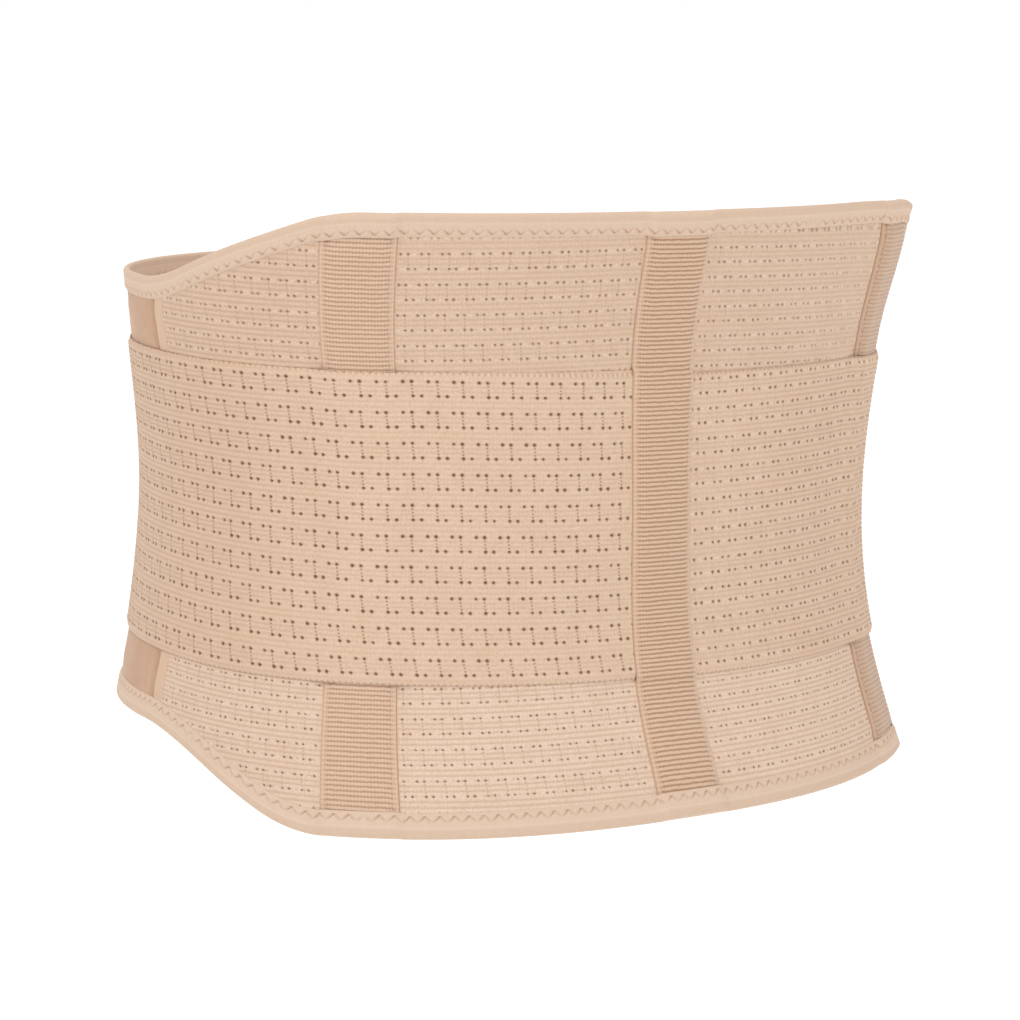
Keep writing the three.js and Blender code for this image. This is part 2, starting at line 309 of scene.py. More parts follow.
def under_band(band, along, heights):
    low, high = band_edges(band, along)
    outside = np.maximum(low - heights, heights - high)
    return (1 - smoothstep(outside, *PRESSED)) * (along * band["sign"] > 0)


def over_bands(along, heights):
    """One over the bands' ends, falling to zero just past their edges."""
    covers = []
    for band in BANDS:
        low, high = band_edges(band, along)
        covers.append(1 - smoothstep(np.maximum(low - heights, heights - high), *CASING_STEP))
    share = smoothstep(along, -BAND_MEETING, BAND_MEETING)
    return covers[1] + (covers[0] - covers[1]) * share


def climb(along, span):
    return OVERLAP_RISE * smoothstep(np.abs(along), FRONT - span[0], FRONT - span[1])


def panel_rise(along):
    return np.where(along > 0, climb(along, OVER_PANEL_CLIMB), 0)


def from_edges(along, heights):
    """Height between a place and the nearer edge of the belt."""
    below = heights - edge_height(BOTTOM_EDGE, along)
    above = edge_height(TOP_EDGE, along) - heights
    return np.minimum(below, above)


def panel_top(along, heights):
    """Outer face of a panel, which thins into the edge tape."""
    full = smoothstep(from_edges(along, heights), TAPE_WIDTH, TAPE_WIDTH + PANEL_TAPER)
    return panel_rise(along) + PANEL_EDGE + (PANEL - PANEL_EDGE) * full


def band_under(along, heights):
    rise = np.where(along > 0, climb(along, OVER_PANEL_CLIMB), climb(along, RIGHT_BAND_CLIMB))
    seam = SEAM_RIDGE * cover(np.abs(along), SIDE_SEAM - SEAM_STRIP / 2, SEAM_STRIP / 2)
    bulge = casing_bulge("left", along, heights) + casing_bulge("right", along, heights)
    bow = 1 - np.clip(heights / BAND_HALF, -1, 1) ** 2
    side = SIDE_LIFT * smoothstep(np.abs(along), *SIDE_REACH) * bow
    return PANEL + GAP + rise + seam + bulge + side


def tape_under(along, heights):
    """Inner face of the edge tape, which climbs over the end of each casing."""
    shares = []
    for side in CASING_COURSES:
        from_rim = CASING_WIDTH / 2 - np.abs(along - casing_middle(side, heights))
        shares.append(smoothstep(from_rim, *TAPE_CLIMB))
    return panel_rise(along) + PANEL_EDGE + GAP + np.max(shares, axis=0) * (CASING_END + GAP)


# Meshes

# Places of a sheet's faces on its bake map, as (left, right, bottom, top).
BAKE_OUTER = (0.03, 0.97, 0.32, 0.98)
BAKE_INNER = (0.03, 0.97, 0.06, 0.26)
BAKE_LOW = (0.03, 0.97, 0.28, 0.30)
BAKE_HIGH = (0.03, 0.97, 0.01, 0.03)
BAKE_START = (0.005, 0.02, 0.1, 0.9)
BAKE_END = (0.98, 0.995, 0.1, 0.9)
ROW_SNAP = 0.2  # a row this close to a cut edge moves onto it
BACK_ROWS = 8


def in_rect(rect, across, up):
    """Shares from 0 to 1, placed in a rectangle of the bake map."""
    across, up = np.broadcast_arrays(across, up)
    left, right, bottom, top = rect
    return np.stack([left + (right - left) * across, bottom + (top - bottom) * up], -1)


def shares(values):
    """Each value's place between the first and the last, from 0 to 1."""
    values = np.asarray(values, float)
    return (values - values[0]) / (values[-1] - values[0])


class Cloth:
    """Gathers the points, faces and texture coordinates of one mesh."""

    def __init__(self):
        self.points = []
        self.size = 0
        self.faces = []
        self.cloth = []
        self.bake = []
        self.smooth = []

    def add_points(self, points):
        """Keeps a grid of points and returns their numbers."""
        shape = points.shape[:-1]
        first = self.size
        self.points.append(points.reshape(-1, 3))
        self.size += len(self.points[-1])
        return first + np.arange(self.size - first).reshape(shape)

    def add_grid(self, index, cloth, bake, smooth=True):
        """Triangles over a grid of point numbers, without those that have no area."""
        place = np.arange(index.size).reshape(index.shape)
        a, b = place[..., :-1, :-1], place[..., :-1, 1:]
        d, c = place[..., 1:, :-1], place[..., 1:, 1:]
        corners = np.stack([a, d, c, a, c, b], -1).reshape(-1, 3)
        faces = index.reshape(-1)[corners]
        near, mid, far = faces.T
        keep = (near != mid) & (mid != far) & (far != near)
        self.faces += faces[keep].tolist()
        self.smooth += [smooth] * int(keep.sum())
        self.cloth.append(cloth.reshape(-1, 2)[corners[keep]].reshape(-1, 2))
        self.bake.append(bake.reshape(-1, 2)[corners[keep]].reshape(-1, 2))

    def build(self, name, material):
        points = np.concatenate(self.points) * MM
        used = np.unique(np.concatenate([np.asarray(face) for face in self.faces]))
        renumber = np.zeros(len(points), int)
        renumber[used] = np.arange(len(used))
        faces = [renumber[face].tolist() for face in self.faces]
        mesh = bpy.data.meshes.new(name)
        mesh.from_pydata(points[used].tolist(), [], faces)
        for layer, corners in (("Cloth", self.cloth), ("OFBake", self.bake)):
            uv = mesh.uv_layers.new(name=layer)
            uv.data.foreach_set("uv", np.concatenate(corners).astype(np.float32).ravel())
        mesh.polygons.foreach_set("use_smooth", self.smooth)
        mesh.materials.append(material)
        mesh.update()
        piece = bpy.data.objects.new(name, mesh)
        bpy.context.collection.objects.link(piece)
        return piece


def cut_rows(rows, low, high):
    """Moves what lies past the cut edges onto them, and gives the row that each place is drawn at."""
    rows = np.where(rows < low + ROW_SNAP, low, rows)
    rows = np.where(rows > high - ROW_SNAP, high, rows)
    first = (rows <= low).sum(0) - 1
    last = len(rows) - (rows >= high).sum(0)
    drawn = np.clip(np.arange(len(rows))[:, None], first, last)
    return rows, drawn


def no_lean(along, heights):
    return 0


def add_shell(cloth, face, back, face_uv, back_uv, across, up, drawn):
    """Outer and inner face of a sheet, and the walls between their rims."""
    wall = np.array([[0.0], [1.0]])
    back_up = np.linspace(0, 1, len(back))[:, None]
    cloth.add_grid(face, face_uv, in_rect(BAKE_OUTER, across, up))
    cloth.add_grid(back[::-1], back_uv[::-1], in_rect(BAKE_INNER, across, back_up)[::-1])
    low_wall, high_wall = np.stack([back[0], face[0]]), np.stack([face[-1], back[-1]])
    cloth.add_grid(low_wall, face_uv[[0, 0]], in_rect(BAKE_LOW, across, wall), False)
    cloth.add_grid(high_wall, face_uv[[-1, -1]], in_rect(BAKE_HIGH, across, wall), False)
    for column, rect in ((0, BAKE_START), (-1, BAKE_END)):
        rows = np.unique(drawn[:, column])
        place_up = up[rows, column]
        behind = np.round(place_up * (len(back) - 1)).astype(int)
        ends = np.stack([back[behind, column], face[rows, column]])
        ends_uv = np.stack([back_uv[behind, column], face_uv[rows, column]])
        ends_bake = in_rect(rect, wall, place_up)
        order = slice(None, None, -1) if column == 0 else slice(None)
        cloth.add_grid(ends[order], ends_uv[order], ends_bake[order], False)


def add_sheet(name, material, along, rows, edges, outer, inner, uv, back_rows=BACK_ROWS, lean=no_lean):
    """A closed sheet. rows holds heights for each row and place along, cut to the edges."""
    low, high = edges
    heights, drawn = cut_rows(rows, low, high)
    cloth = Cloth()
    place = along + lean(along, heights)
    face = cloth.add_points(belt_point(place, heights, outer(place, heights)))
    face = np.take_along_axis(face, drawn, 0)
    share = np.linspace(0, 1, back_rows)[:, None]
    back_heights = low + (high - low) * share
    back_place = along + lean(along, back_heights)
    back = cloth.add_points(belt_point(back_place, back_heights, inner(back_place, back_heights)))
    back_uv = uv[0] + (uv[-1] - uv[0]) * share[..., None]
    up = (heights - low) / (high - low)
    add_shell(cloth, face, back, uv, back_uv, shares(along), up, drawn)
    return cloth.build(name, material)


# The knit

def knit_columns(start, end, knit):
    """Places along the belt, with the hole columns of every repeat, and which holes each carries."""
    repeat, radius = knit["repeat"], knit["hole"]
    middles = [share * repeat for share in (*LOW_HOLES, *HIGH_HOLES)]
    sides = [middle + step for middle in middles for step in (-radius, radius)]
    room = CLEAR_OF_HOLES * radius
    clear = [side for side in sides if min(abs(side - middle) for middle in middles) > room]
    offsets = np.sort(middles + clear)
    first = math.floor((start - knit["phase"]) / repeat) - 1
    last = math.ceil((end - knit["phase"]) / repeat) + 1
    places = (knit["phase"] + repeat * np.arange(first, last)[:, None] + offsets).ravel()
    inside = places[(places > start + radius) & (places < end - radius)]
    return np.concatenate([[start], inside, [end]])


def rib_levels(rows, thirds):
    """Heights of steps counted in thirds of a rib from the lowest pair of holes."""
    ribs = thirds / STEPS_PER_RIB
    meander = np.floor(ribs / MEANDER_RIBS)
    inside = ribs - MEANDER_RIBS * meander
    steps = np.interp(inside, (0, RISE_RIBS, MEANDER_RIBS), (0, rows["rise"], rows["pitch"]))
    return rows["level"] + rows["pitch"] * meander + steps


def rib_steps(rows):
    first, last = rows["ribs"]
    return np.arange(first * STEPS_PER_RIB, last * STEPS_PER_RIB + 1)


def near_share(places, knit, targets):
    """True where a place is the middle of one of the target holes."""
    share = (places - knit["phase"]) / knit["repeat"]
    gaps = [np.abs((share - target + 0.5) % 1 - 0.5) for target in targets]
    return np.min(gaps, axis=0) * knit["repeat"] < HOLE_SNAP


def knit_relief(along, thirds, knit):
    """How far the knit lies below its full thickness: grooves between ribs, and pits at the holes."""
    groove = np.where(thirds % STEPS_PER_RIB == 0, knit["rib"], 0)[:, None]
    step = thirds % (MEANDER_RIBS * STEPS_PER_RIB)
    low_row = (step == 0)[:, None]
    high_row = (step == RISE_RIBS * STEPS_PER_RIB)[:, None]
    low = low_row & near_share(along, knit, LOW_HOLES)
    high = high_row & near_share(along, knit, HIGH_HOLES)
    return groove + np.where(low | high, knit["pit"], 0)


def knit_uv(along, thirds, knit):
    """Repeats along and ribs up."""
    across = np.broadcast_to((along - knit["phase"]) / knit["repeat"], (len(thirds), len(along)))
    up = np.broadcast_to(thirds[:, None] / STEPS_PER_RIB, across.shape)
    return np.stack([across, up], -1)


def dropped(rows, along):
    left, right = rows["drop"]
    return left * np.clip(along, 0, DROP_REACH) + right * np.clip(-along, 0, DROP_REACH)


def base_rows(along):
    """Rows of the back panel from below its lower edge to above its upper one, with their ribs."""
    lower, upper = rib_steps(LOWER_ROWS), rib_steps(UPPER_ROWS)
    low_levels = rib_levels(LOWER_ROWS, lower)[:, None] - dropped(LOWER_ROWS, along)
    high_levels = rib_levels(UPPER_ROWS, upper)[:, None] - dropped(UPPER_ROWS, along)
    shift = lower[-1] + STEPS_PER_RIB * MEANDER_RIBS * 2
    shift += -shift % (STEPS_PER_RIB * MEANDER_RIBS)
    beyond = EDGE_ROW_STEP * np.arange(1, EDGE_ROWS + 1)[:, None]
    below = low_levels[0] - beyond[::-1]
    above = high_levels[-1] + beyond
    count = round(float((high_levels[0] - low_levels[-1]).mean()) / HIDDEN_ROW_STEP)
    share = (np.arange(1, count) / count)[:, None]
    hidden = low_levels[-1] + (high_levels[0] - low_levels[-1]) * share
    rows = np.concatenate([below, low_levels, hidden, high_levels, above])
    plain = 1 + np.arange(EDGE_ROWS) * STEPS_PER_RIB
    hidden_thirds = np.round(lower[-1] + (upper[0] + shift - lower[-1]) * share[:, 0])
    hidden_thirds += hidden_thirds % STEPS_PER_RIB == 0
    thirds = np.concatenate([
        lower[0] - plain[::-1] - 1, lower, hidden_thirds, upper + shift, upper[-1] + shift + plain + 1,
    ])
    return rows, thirds.astype(int)


def panel_edges(along):
    return edge_height(BOTTOM_EDGE, along) + PANEL_INSET, edge_height(TOP_EDGE, along) - PANEL_INSET


# Shift of the left half of the back panel along the belt: at mid height, with height, and where.
BASE_LEAN = {"shift": -0.5, "lean": -0.0155, "rise": (-20, 20), "fall": (160, 200)}


def seam_ridge(along):
    """The flat seam strip, which shows as a smooth ridge at each end of the back panel."""
    inside = np.clip((SIDE_SEAM - np.abs(along)) / SEAM_STRIP, 0, 1)
    return SEAM_RIDGE * np.sin(math.pi * inside)


def base_lean(along, heights):
    reach = smoothstep(along, *BASE_LEAN["rise"]) * (1 - smoothstep(along, *BASE_LEAN["fall"]))
    return (BASE_LEAN["shift"] + BASE_LEAN["lean"] * heights) * reach


def thinned(along):
    """Leaves out most of the columns that the casings hide at every height."""
    hidden = np.zeros(len(along), bool)
    for side in CASING_COURSES:
        middles = casing_middle(side, np.array((BOTTOM_EDGE["back"], 0, TOP_EDGE["back"])))
        reach = CASING_WIDTH / 2 - HIDDEN_MARGIN
        hidden |= (along > middles.max() - reach) & (along < middles.min() + reach)
    return along[~hidden | (np.arange(len(along)) % HIDDEN_COLUMN_STEP == 0)]


def back_panel(material):
    edge = SIDE_SEAM - SEAM_GAP / 2
    strip = edge - np.linspace(0, SEAM_STRIP, SEAM_STRIP_STEPS)
    along = thinned(knit_columns(-strip[-1], strip[-1], BASE_KNIT))
    along = np.concatenate([-strip[:-1], along, strip[:-1][::-1]])
    rows, thirds = base_rows(along)
    plain = np.abs(along) > strip[-1]
    relief = knit_relief(along, thirds, BASE_KNIT) * ~plain

    def outer(place, heights):
        covers = [under_casing(side, place, heights) for side in CASING_COURSES]
        covers += [under_band(band, place, heights) for band in BANDS]
        covers.append(1 - smoothstep(from_edges(place, heights) - TAPE_WIDTH, *PRESSED))
        return panel_top(place, heights) - relief * (1 - np.max(covers, axis=0)) + seam_ridge(place)

    def inner(place, heights):
        return 0 * heights

    uv = knit_uv(along, thirds, BASE_KNIT)
    edges = panel_edges(along)
    return add_sheet("back_panel_knit", material, along, rows, edges, outer, inner, uv, lean=base_lean)


BAND_EDGE = {"depth": 0.95, "width": 2.4, "relief": 0.5}  # the rounding, and the knit's relief there
BAND_BACK_ROWS = 24
BAND_LEAN = -0.062  # shift along for each millimetre above mid height
LEAN_RISE = (0, 40)
LEAN_FADE = (150, 330)
SIDE_STRETCH = {"shift": 3.0, "rise": (160, 215), "fall": (230, 380)}


def band_lean(along, heights):
    """Shifts the left band's columns: they lean above mid height and keep their pitch below it."""
    left = np.maximum(along, 0)
    fade = 1 - smoothstep(left, *LEAN_FADE)
    widening = torso_size("half_width", heights) / torso_size("half_width", 0 * heights)
    below = left * (1 / widening - 1) * fade
    above = BAND_LEAN * heights * smoothstep(left, *LEAN_RISE) * fade
    stretch = smoothstep(left, *SIDE_STRETCH["rise"]) * (1 - smoothstep(left, *SIDE_STRETCH["fall"]))
    return np.where(heights < 0, below, above) + SIDE_STRETCH["shift"] * stretch


def tension_band(band, material):
    knit = band["knit"]
    reach = (BAND_START, FRONT - BAND_END)
    start, end = sorted(band["sign"] * place for place in reach)
    along = knit_columns(start, end, knit)
    near_spine = 1 - smoothstep(np.abs(along), *SAG_REACH)
    rows_of_band = {**BAND_ROWS, "level": band["bottom"] + BAND_FIRST_ROW}
    thirds = rib_steps(rows_of_band)
    levels = rib_levels(rows_of_band, thirds)
    sag = np.interp(levels, (band["bottom"], band["top"]), band["sag"])
    rows = levels[:, None] - sag[:, None] * near_spine
    low, high = band_edges(band, along)
    relief = knit_relief(along, thirds, knit)

    def outer(place, heights):
        inside = np.minimum(heights - low, high - heights)
        rounding = BAND_EDGE["depth"] * (1 - smoothstep(inside, 0, BAND_EDGE["width"]))
        shallow = np.where(inside < BAND_EDGE["width"], BAND_EDGE["relief"], 1)
        shallow = shallow * (1 - under_casing("centre", place, heights))
        return band_under(place, heights) + BAND - relief * shallow - rounding

    uv = knit_uv(along, thirds, knit)
    name = f"tension_band_{band['side']}_knit"
    edges = (low, high)
    return add_sheet(name, material, along, rows, edges, outer, band_under, uv, BAND_BACK_ROWS, band_lean)


# Velour panels and tabs

VELOUR_STEP = 5
VELOUR_ROWS = 40
RIPPLE = {"height": 0.25, "along": 46, "up": 71}
TAB_STEP = 2
TAB_CORNER_STEPS = 14
TAB_EDGE = {"depth": 0.7, "width": 2.5}


def plain_uv(along, heights):
    """Millimetres along and up."""
    along, heights = np.broadcast_arrays(along, heights)
    return np.stack([along, heights], -1)


def even_places(start, end, step):
    return np.linspace(start, end, max(2, round((end - start) / step) + 1))


def ripple(along, heights):
    """The slight unevenness of a worn panel."""
    waves = np.sin(2 * math.pi * (along / RIPPLE["along"] + heights / RIPPLE["up"]))
    waves = waves * np.sin(2 * math.pi * (along / RIPPLE["up"] - heights / RIPPLE["along"]))
    return RIPPLE["height"] * waves


def front_panel(side, sign, past, material):
    reach = (SIDE_SEAM + SEAM_GAP / 2, FRONT + past)
    start, end = sorted(sign * place for place in reach)
    along = even_places(start, end, VELOUR_STEP)
    low, high = panel_edges(along)
    rows = low + (high - low) * np.linspace(0, 1, VELOUR_ROWS)[:, None]

    def outer(place, heights):
        away = smoothstep(np.abs(place) - SIDE_SEAM, 0, RIPPLE["along"])
        return panel_top(place, heights) + np.minimum(ripple(place, heights), 0) * away

    def inner(place, heights):
        return panel_rise(place) + 0 * heights

    uv = plain_uv(along, rows)
    name = f"front_panel_{side}_velour"
    return add_sheet(name, material, along, rows, (low, high), outer, inner, uv)


def tab_reach(along):
    """How far the tab's edges draw in towards its round corners."""
    inside = np.clip((np.abs(along) - (FRONT - TAB_TIP - TAB_CORNER)) / TAB_CORNER, 0, 1)
    return TAB_MARGIN + TAB_CORNER * (1 - np.sqrt(1 - inside**2))


def tab_under(along):
    past = np.abs(along) - (FRONT - BAND_END) - COVER_MARGIN
    return PANEL + GAP + SIDE_LIFT + OVERLAP_RISE + (BAND + GAP) * (1 - smoothstep(past, 0, COVER_RAMP))


def closure_tab(band, material):
    tip = FRONT - TAB_TIP
    flat = even_places(FRONT - TAB_ROOT, tip - TAB_CORNER, TAB_STEP)
    turn = np.linspace(0, math.pi / 2, TAB_CORNER_STEPS)
    round_end = tip - TAB_CORNER + TAB_CORNER * np.sin(turn)[1:]
    along = np.sort(band["sign"] * np.append(flat, round_end))
    reach = tab_reach(along)
    low, high = band["bottom"] + reach, band["top"] - reach
    rows = low + (high - low) * np.linspace(0, 1, VELOUR_ROWS)[:, None]

    def outer(place, heights):
        inside = np.minimum(heights - low, high - heights)
        rounding = TAB_EDGE["depth"] * (1 - smoothstep(inside, 0, TAB_EDGE["width"]))
        return tab_under(place) + TAB - rounding

    def inner(place, heights):
        return tab_under(place) + 0 * heights

    uv = plain_uv(along, rows)
    name = f"closure_tab_{band['side']}_face"
    return add_sheet(name, material, along, rows, (low, high), outer, inner, uv)


# Ribbed casings

CASING_COLUMN_STEP = 1.5
CASING_BACK_ROWS = 160  # close enough for the step over the bands' edges
SELVEDGE = 2.0  # place of the stitches, from the rim
SELVEDGE_RELIEF = 0.3  # share of the ribs' depth between the stitches and the rim
SELVEDGE_STEPS = (0, 0.35, 0.9, 1.5, 2.0, 2.5, 3.2, 4.5)
SELVEDGE_LIFTS = (0.3, 0.6, 0.9, 1.05, 1.15, 1.3, 1.55, CASING_BODY)  # thickness at those steps


def casing_columns():
    """Places across a casing, from its middle."""
    half = CASING_WIDTH / 2
    rim = np.array(SELVEDGE_STEPS)
    plain = even_places(rim[-1] - half, half - rim[-1], CASING_COLUMN_STEP)
    return np.concatenate([rim[:-1] - half, plain, (half - rim[:-1])[::-1]])


def casing_under(side):
    """Function of place and height that gives the lift of a casing's inner face."""
    def under(place, heights):
        step = over_bands(place, heights) if side == "centre" else 0
        return panel_top(place, heights) + GAP + step * (BAND + GAP)

    return under


def casing_thickness(side, from_rim, place, heights):
    full = np.interp(from_rim, SELVEDGE_STEPS, SELVEDGE_LIFTS)
    full = full + CASING_DOMES[side] * smoothstep(from_rim, SELVEDGE, DOME_RAMP)
    pressed = np.minimum(full, CASING_END)
    free = smoothstep(from_edges(place, heights) - TAPE_WIDTH, *CASING_TAPER)
    return pressed + (full - pressed) * free


def casing(side, material):
    offsets = casing_columns()
    middle = casing_middle(side, 0)
    along = middle + offsets
    bottom = edge_height(BOTTOM_EDGE, along) + CASING_INSET
    top = edge_height(TOP_EDGE, along) - CASING_INSET
    first = math.floor(bottom.min() / TAPE_RIB) - 1
    last = math.ceil(top.max() / TAPE_RIB) + 1
    steps = np.arange(first * len(TAPE_RIB_PROFILE), last * len(TAPE_RIB_PROFILE) + 1)
    ribs = steps / len(TAPE_RIB_PROFILE)
    rows = (ribs * TAPE_RIB)[:, None] + 0 * along
    from_rim = CASING_WIDTH / 2 - np.abs(offsets)
    groove = TAPE_RIB_DEPTH * np.take(TAPE_RIB_PROFILE, steps % len(TAPE_RIB_PROFILE))[:, None]
    groove = groove * np.where(from_rim < SELVEDGE, SELVEDGE_RELIEF, 1)
    inner = casing_under(side)

    def outer(place, heights):
        return inner(place, heights) + casing_thickness(side, from_rim, place, heights) - groove

    def lean(place, heights):
        return casing_middle(side, heights) - middle

    across = (offsets + CASING_WIDTH / 2) / CASING_WIDTH
    uv = np.stack(np.broadcast_arrays(across, ribs[:, None]), -1)
    name = f"stay_casing_{side}_tape"
    edges = (bottom, top)
    return add_sheet(name, material, along, rows, edges, outer, inner, uv, CASING_BACK_ROWS, lean)


# Edge tape

BINDING_STEP = ZIGZAG_PITCH / 4
PUCKER = 0.45
PUCKER_SPREAD = 1.0
FOLD_STEPS = 5
TAPE_RIM = 0.7  # the tape thins by this at its rim
LEG_DEPTHS = (9.2, 9.0, 8.5, 7.9, 7.3, 6.7, 6.0, 5.4, 4.6, 3.6, 2.6)


def zigzag_dips(along, depth):
    """One at each needle hole of the zigzag, falling to zero round it."""
    dips = 0
    for row, needle_depth in enumerate(ZIGZAG_DEPTHS):
        gap = (along / ZIGZAG_PITCH - row / 2 + 0.5) % 1 - 0.5
        reach = np.hypot(gap * ZIGZAG_PITCH, depth - needle_depth)
        dips = dips + np.exp(-((reach / PUCKER_SPREAD) ** 2))
    return dips


def binding_section(along, level, up):
    """Outer and inner outline of the folded tape, as depth from the edge and lift, for each place."""
    inside = panel_rise(along) - GAP
    crest = (tape_under(along, level - up * FOLD_DEPTH) + inside) / 2
    half = crest - inside
    leg = np.array(LEG_DEPTHS)[:, None]
    under = tape_under(along, level - up * leg)
    rim = TAPE_RIM * smoothstep(leg, ZIGZAG_DEPTHS[1], TAPE_WIDTH)
    outer = [(leg, under + TAPE - rim - PUCKER * zigzag_dips(along, leg))]
    inner = [(leg, under + 0 * leg)]
    turn = np.linspace(0, math.pi, 2 * FOLD_STEPS + 1)[:, None]
    outer.append((FOLD_DEPTH * (1 - np.sin(turn)), crest + (half + TAPE) * np.cos(turn)))
    inner.append((FOLD_DEPTH - (FOLD_DEPTH - TAPE) * np.sin(turn), crest + half * np.cos(turn)))
    back_leg = np.array(LEG_DEPTHS[::-3])[:, None]
    outer.append((back_leg, inside - TAPE + 0 * back_leg))
    inner.append((back_leg, inside + 0 * back_leg))
    return joined(outer, along), joined(inner, along)


def joined(parts, along):
    depths = np.concatenate([np.broadcast_to(depth, (len(depth), len(along))) for depth, _ in parts])
    lifts = np.concatenate([np.broadcast_to(lift, (len(lift), len(along))) for _, lift in parts])
    return depths, lifts


def binding(name, edge, up, material):
    start = -(FRONT + UNDER_PANEL_PAST)
    along = even_places(start, FRONT + OVER_PANEL_PAST, BINDING_STEP)
    level = edge_height(edge, along)
    outlines = binding_section(along, level, up)
    if up < 0:
        outlines = [(depth[::-1], lift[::-1]) for depth, lift in outlines]
    cloth = Cloth()
    grids = []
    for depth, lift in outlines:
        grids.append(cloth.add_points(belt_point(along, level - up * depth, lift)))
    face, back = grids
    uv = np.stack(np.broadcast_arrays(along, outlines[0][0]), -1)
    rows = np.arange(len(face))[:, None] + np.zeros(len(along), int)
    add_shell(cloth, face, back, uv, uv, shares(along), rows / (len(face) - 1), rows)
    return cloth.build(name, material)


# Stitches

STITCH_SIDES = 6
STITCH_SECTIONS = ((0, 0), (0.12, 0.85), (0.5, 1), (0.88, 0.85), (1, 0))  # place and radius
BAKE_CELL_MARGIN = 0.1
BAKE_CELL_RISE = (0, 1, 3, 5, 6)  # place of each section in its cell of the bake map
ZIGZAG_SINK = 0.9 * THREAD + PUCKER


def add_stitches(name, ends, sink, material):
    """Short threads between pairs of points, each as along, height and lift, sunk at their ends."""
    start, end = ends
    step = end - start
    side = np.stack([-step[:, 1], step[:, 0]], -1)
    side = side / np.linalg.norm(side, axis=1, keepdims=True)
    place = np.array([section[0] for section in STITCH_SECTIONS])
    girth = THREAD * np.array([section[1] for section in STITCH_SECTIONS])
    turn = 2 * math.pi * np.arange(STITCH_SIDES) / STITCH_SIDES
    line = start[:, None, :] + step[:, None, :] * place[:, None]
    line[..., 2] -= sink * (2 * place - 1) ** 2
    ring = np.repeat(line[:, :, None, :], STITCH_SIDES, axis=2)
    ring[..., :2] += side[:, None, None, :] * (girth[:, None] * np.cos(turn))[..., None]
    ring[..., 2] += girth[:, None] * np.sin(turn)
    cloth = Cloth()
    index = cloth.add_points(belt_point(ring[..., 0], ring[..., 1], ring[..., 2]))
    index[:, 0] = index[:, 0, :1]
    index[:, -1] = index[:, -1, :1]
    index = np.concatenate([index, index[..., :1]], -1)
    cells = math.ceil(math.sqrt(len(start)))
    cell = np.arange(len(start))
    inside = BAKE_CELL_MARGIN + (1 - 2 * BAKE_CELL_MARGIN) * np.linspace(0, 1, STITCH_SIDES + 1)
    across = ((cell % cells)[:, None, None] + inside) / cells
    up = ((cell // cells)[:, None, None] + inside[None, BAKE_CELL_RISE, None]) / cells
    bake = np.stack(np.broadcast_arrays(across, up), -1)
    cloth.add_grid(index, bake, bake)
    return cloth.build(name, material)


def zigzag(name, edge, up, material):
    first = math.ceil(-(FRONT + UNDER_PANEL_PAST) / ZIGZAG_PITCH) + 1
    last = math.floor((FRONT + OVER_PANEL_PAST) / ZIGZAG_PITCH) - 1
    needle = np.arange(2 * first, 2 * last + 1)
    along = needle * ZIGZAG_PITCH / 2
    depth = np.where(needle % 2 == 0, *ZIGZAG_DEPTHS)
    level = edge_height(edge, along)
    lift = tape_under(along, level - up * depth) + TAPE - THREAD_SEAT
    points = np.stack([along, level - up * depth, lift], -1)
    return add_stitches(name, (points[:-1], points[1:]), ZIGZAG_SINK, material)


def straight_row(start, end, lift):
    """A row of running stitches between two belt points, at the lift that its places give."""
    length = math.dist(start, end)
    count = max(1, int(length / STITCH))
    share = np.arange(count)[:, None] / count
    reach = (1 - STITCH_GAP / STITCH) / count
    line = np.array(end, float) - np.array(start, float)
    near = np.array(start) + line * share
    far = near + line * reach
    return [np.column_stack([ends, lift(ends[:, 0], ends[:, 1])]) for ends in (near, far)]


def joined_rows(rows):
    return [np.concatenate(ends) for ends in zip(*rows)]


def casing_stitches(side, material):
    """A row of running stitches down each edge of a casing."""
    under = casing_under(side)
    rows = []
    for offset in (SELVEDGE - CASING_WIDTH / 2, CASING_WIDTH / 2 - SELVEDGE):
        rim = np.array(casing_middle(side, 0) + offset)
        low = float(edge_height(BOTTOM_EDGE, rim)) + TAPE_WIDTH + SEAM_END
        high = float(edge_height(TOP_EDGE, rim)) - TAPE_WIDTH - SEAM_END
        starts = np.arange(low, high - STITCH, STITCH)
        ends = []
        for heights in (starts, starts + STITCH - STITCH_GAP):
            place = casing_middle(side, heights) + offset
            lift = under(place, heights) + casing_thickness(side, SELVEDGE, place, heights)
            ends.append(np.stack([place, heights, lift - STITCH_SINK], -1))
        rows.append(ends)
    return add_stitches(f"stay_casing_{side}_stitches", joined_rows(rows), THREAD, material)


def tab_stitches(band, material):
    """Two rows across the root of the tab, and one along each straight edge."""
    sign = band["sign"]
    root, corner = FRONT - TAB_ROOT, FRONT - TAB_TIP - TAB_CORNER
    low, high = band["bottom"] + TAB_MARGIN, band["top"] - TAB_MARGIN

    def lift(along, heights):
        return tab_under(along) + TAB + THREAD_SEAT

    rows = []
    inset = TAB_SEAM_INSETS[0]
    low, high = low + inset, high - inset
    for place in TAB_SEAM_INSETS:
        rows.append(straight_row((sign * (root + place), low), (sign * (root + place), high), lift))
    for level in (low, high):
        rows.append(straight_row((sign * (root + inset), level), (sign * corner, level), lift))
    return add_stitches(f"closure_tab_{band['side']}_stitches", joined_rows(rows), THREAD, material)


# Materials

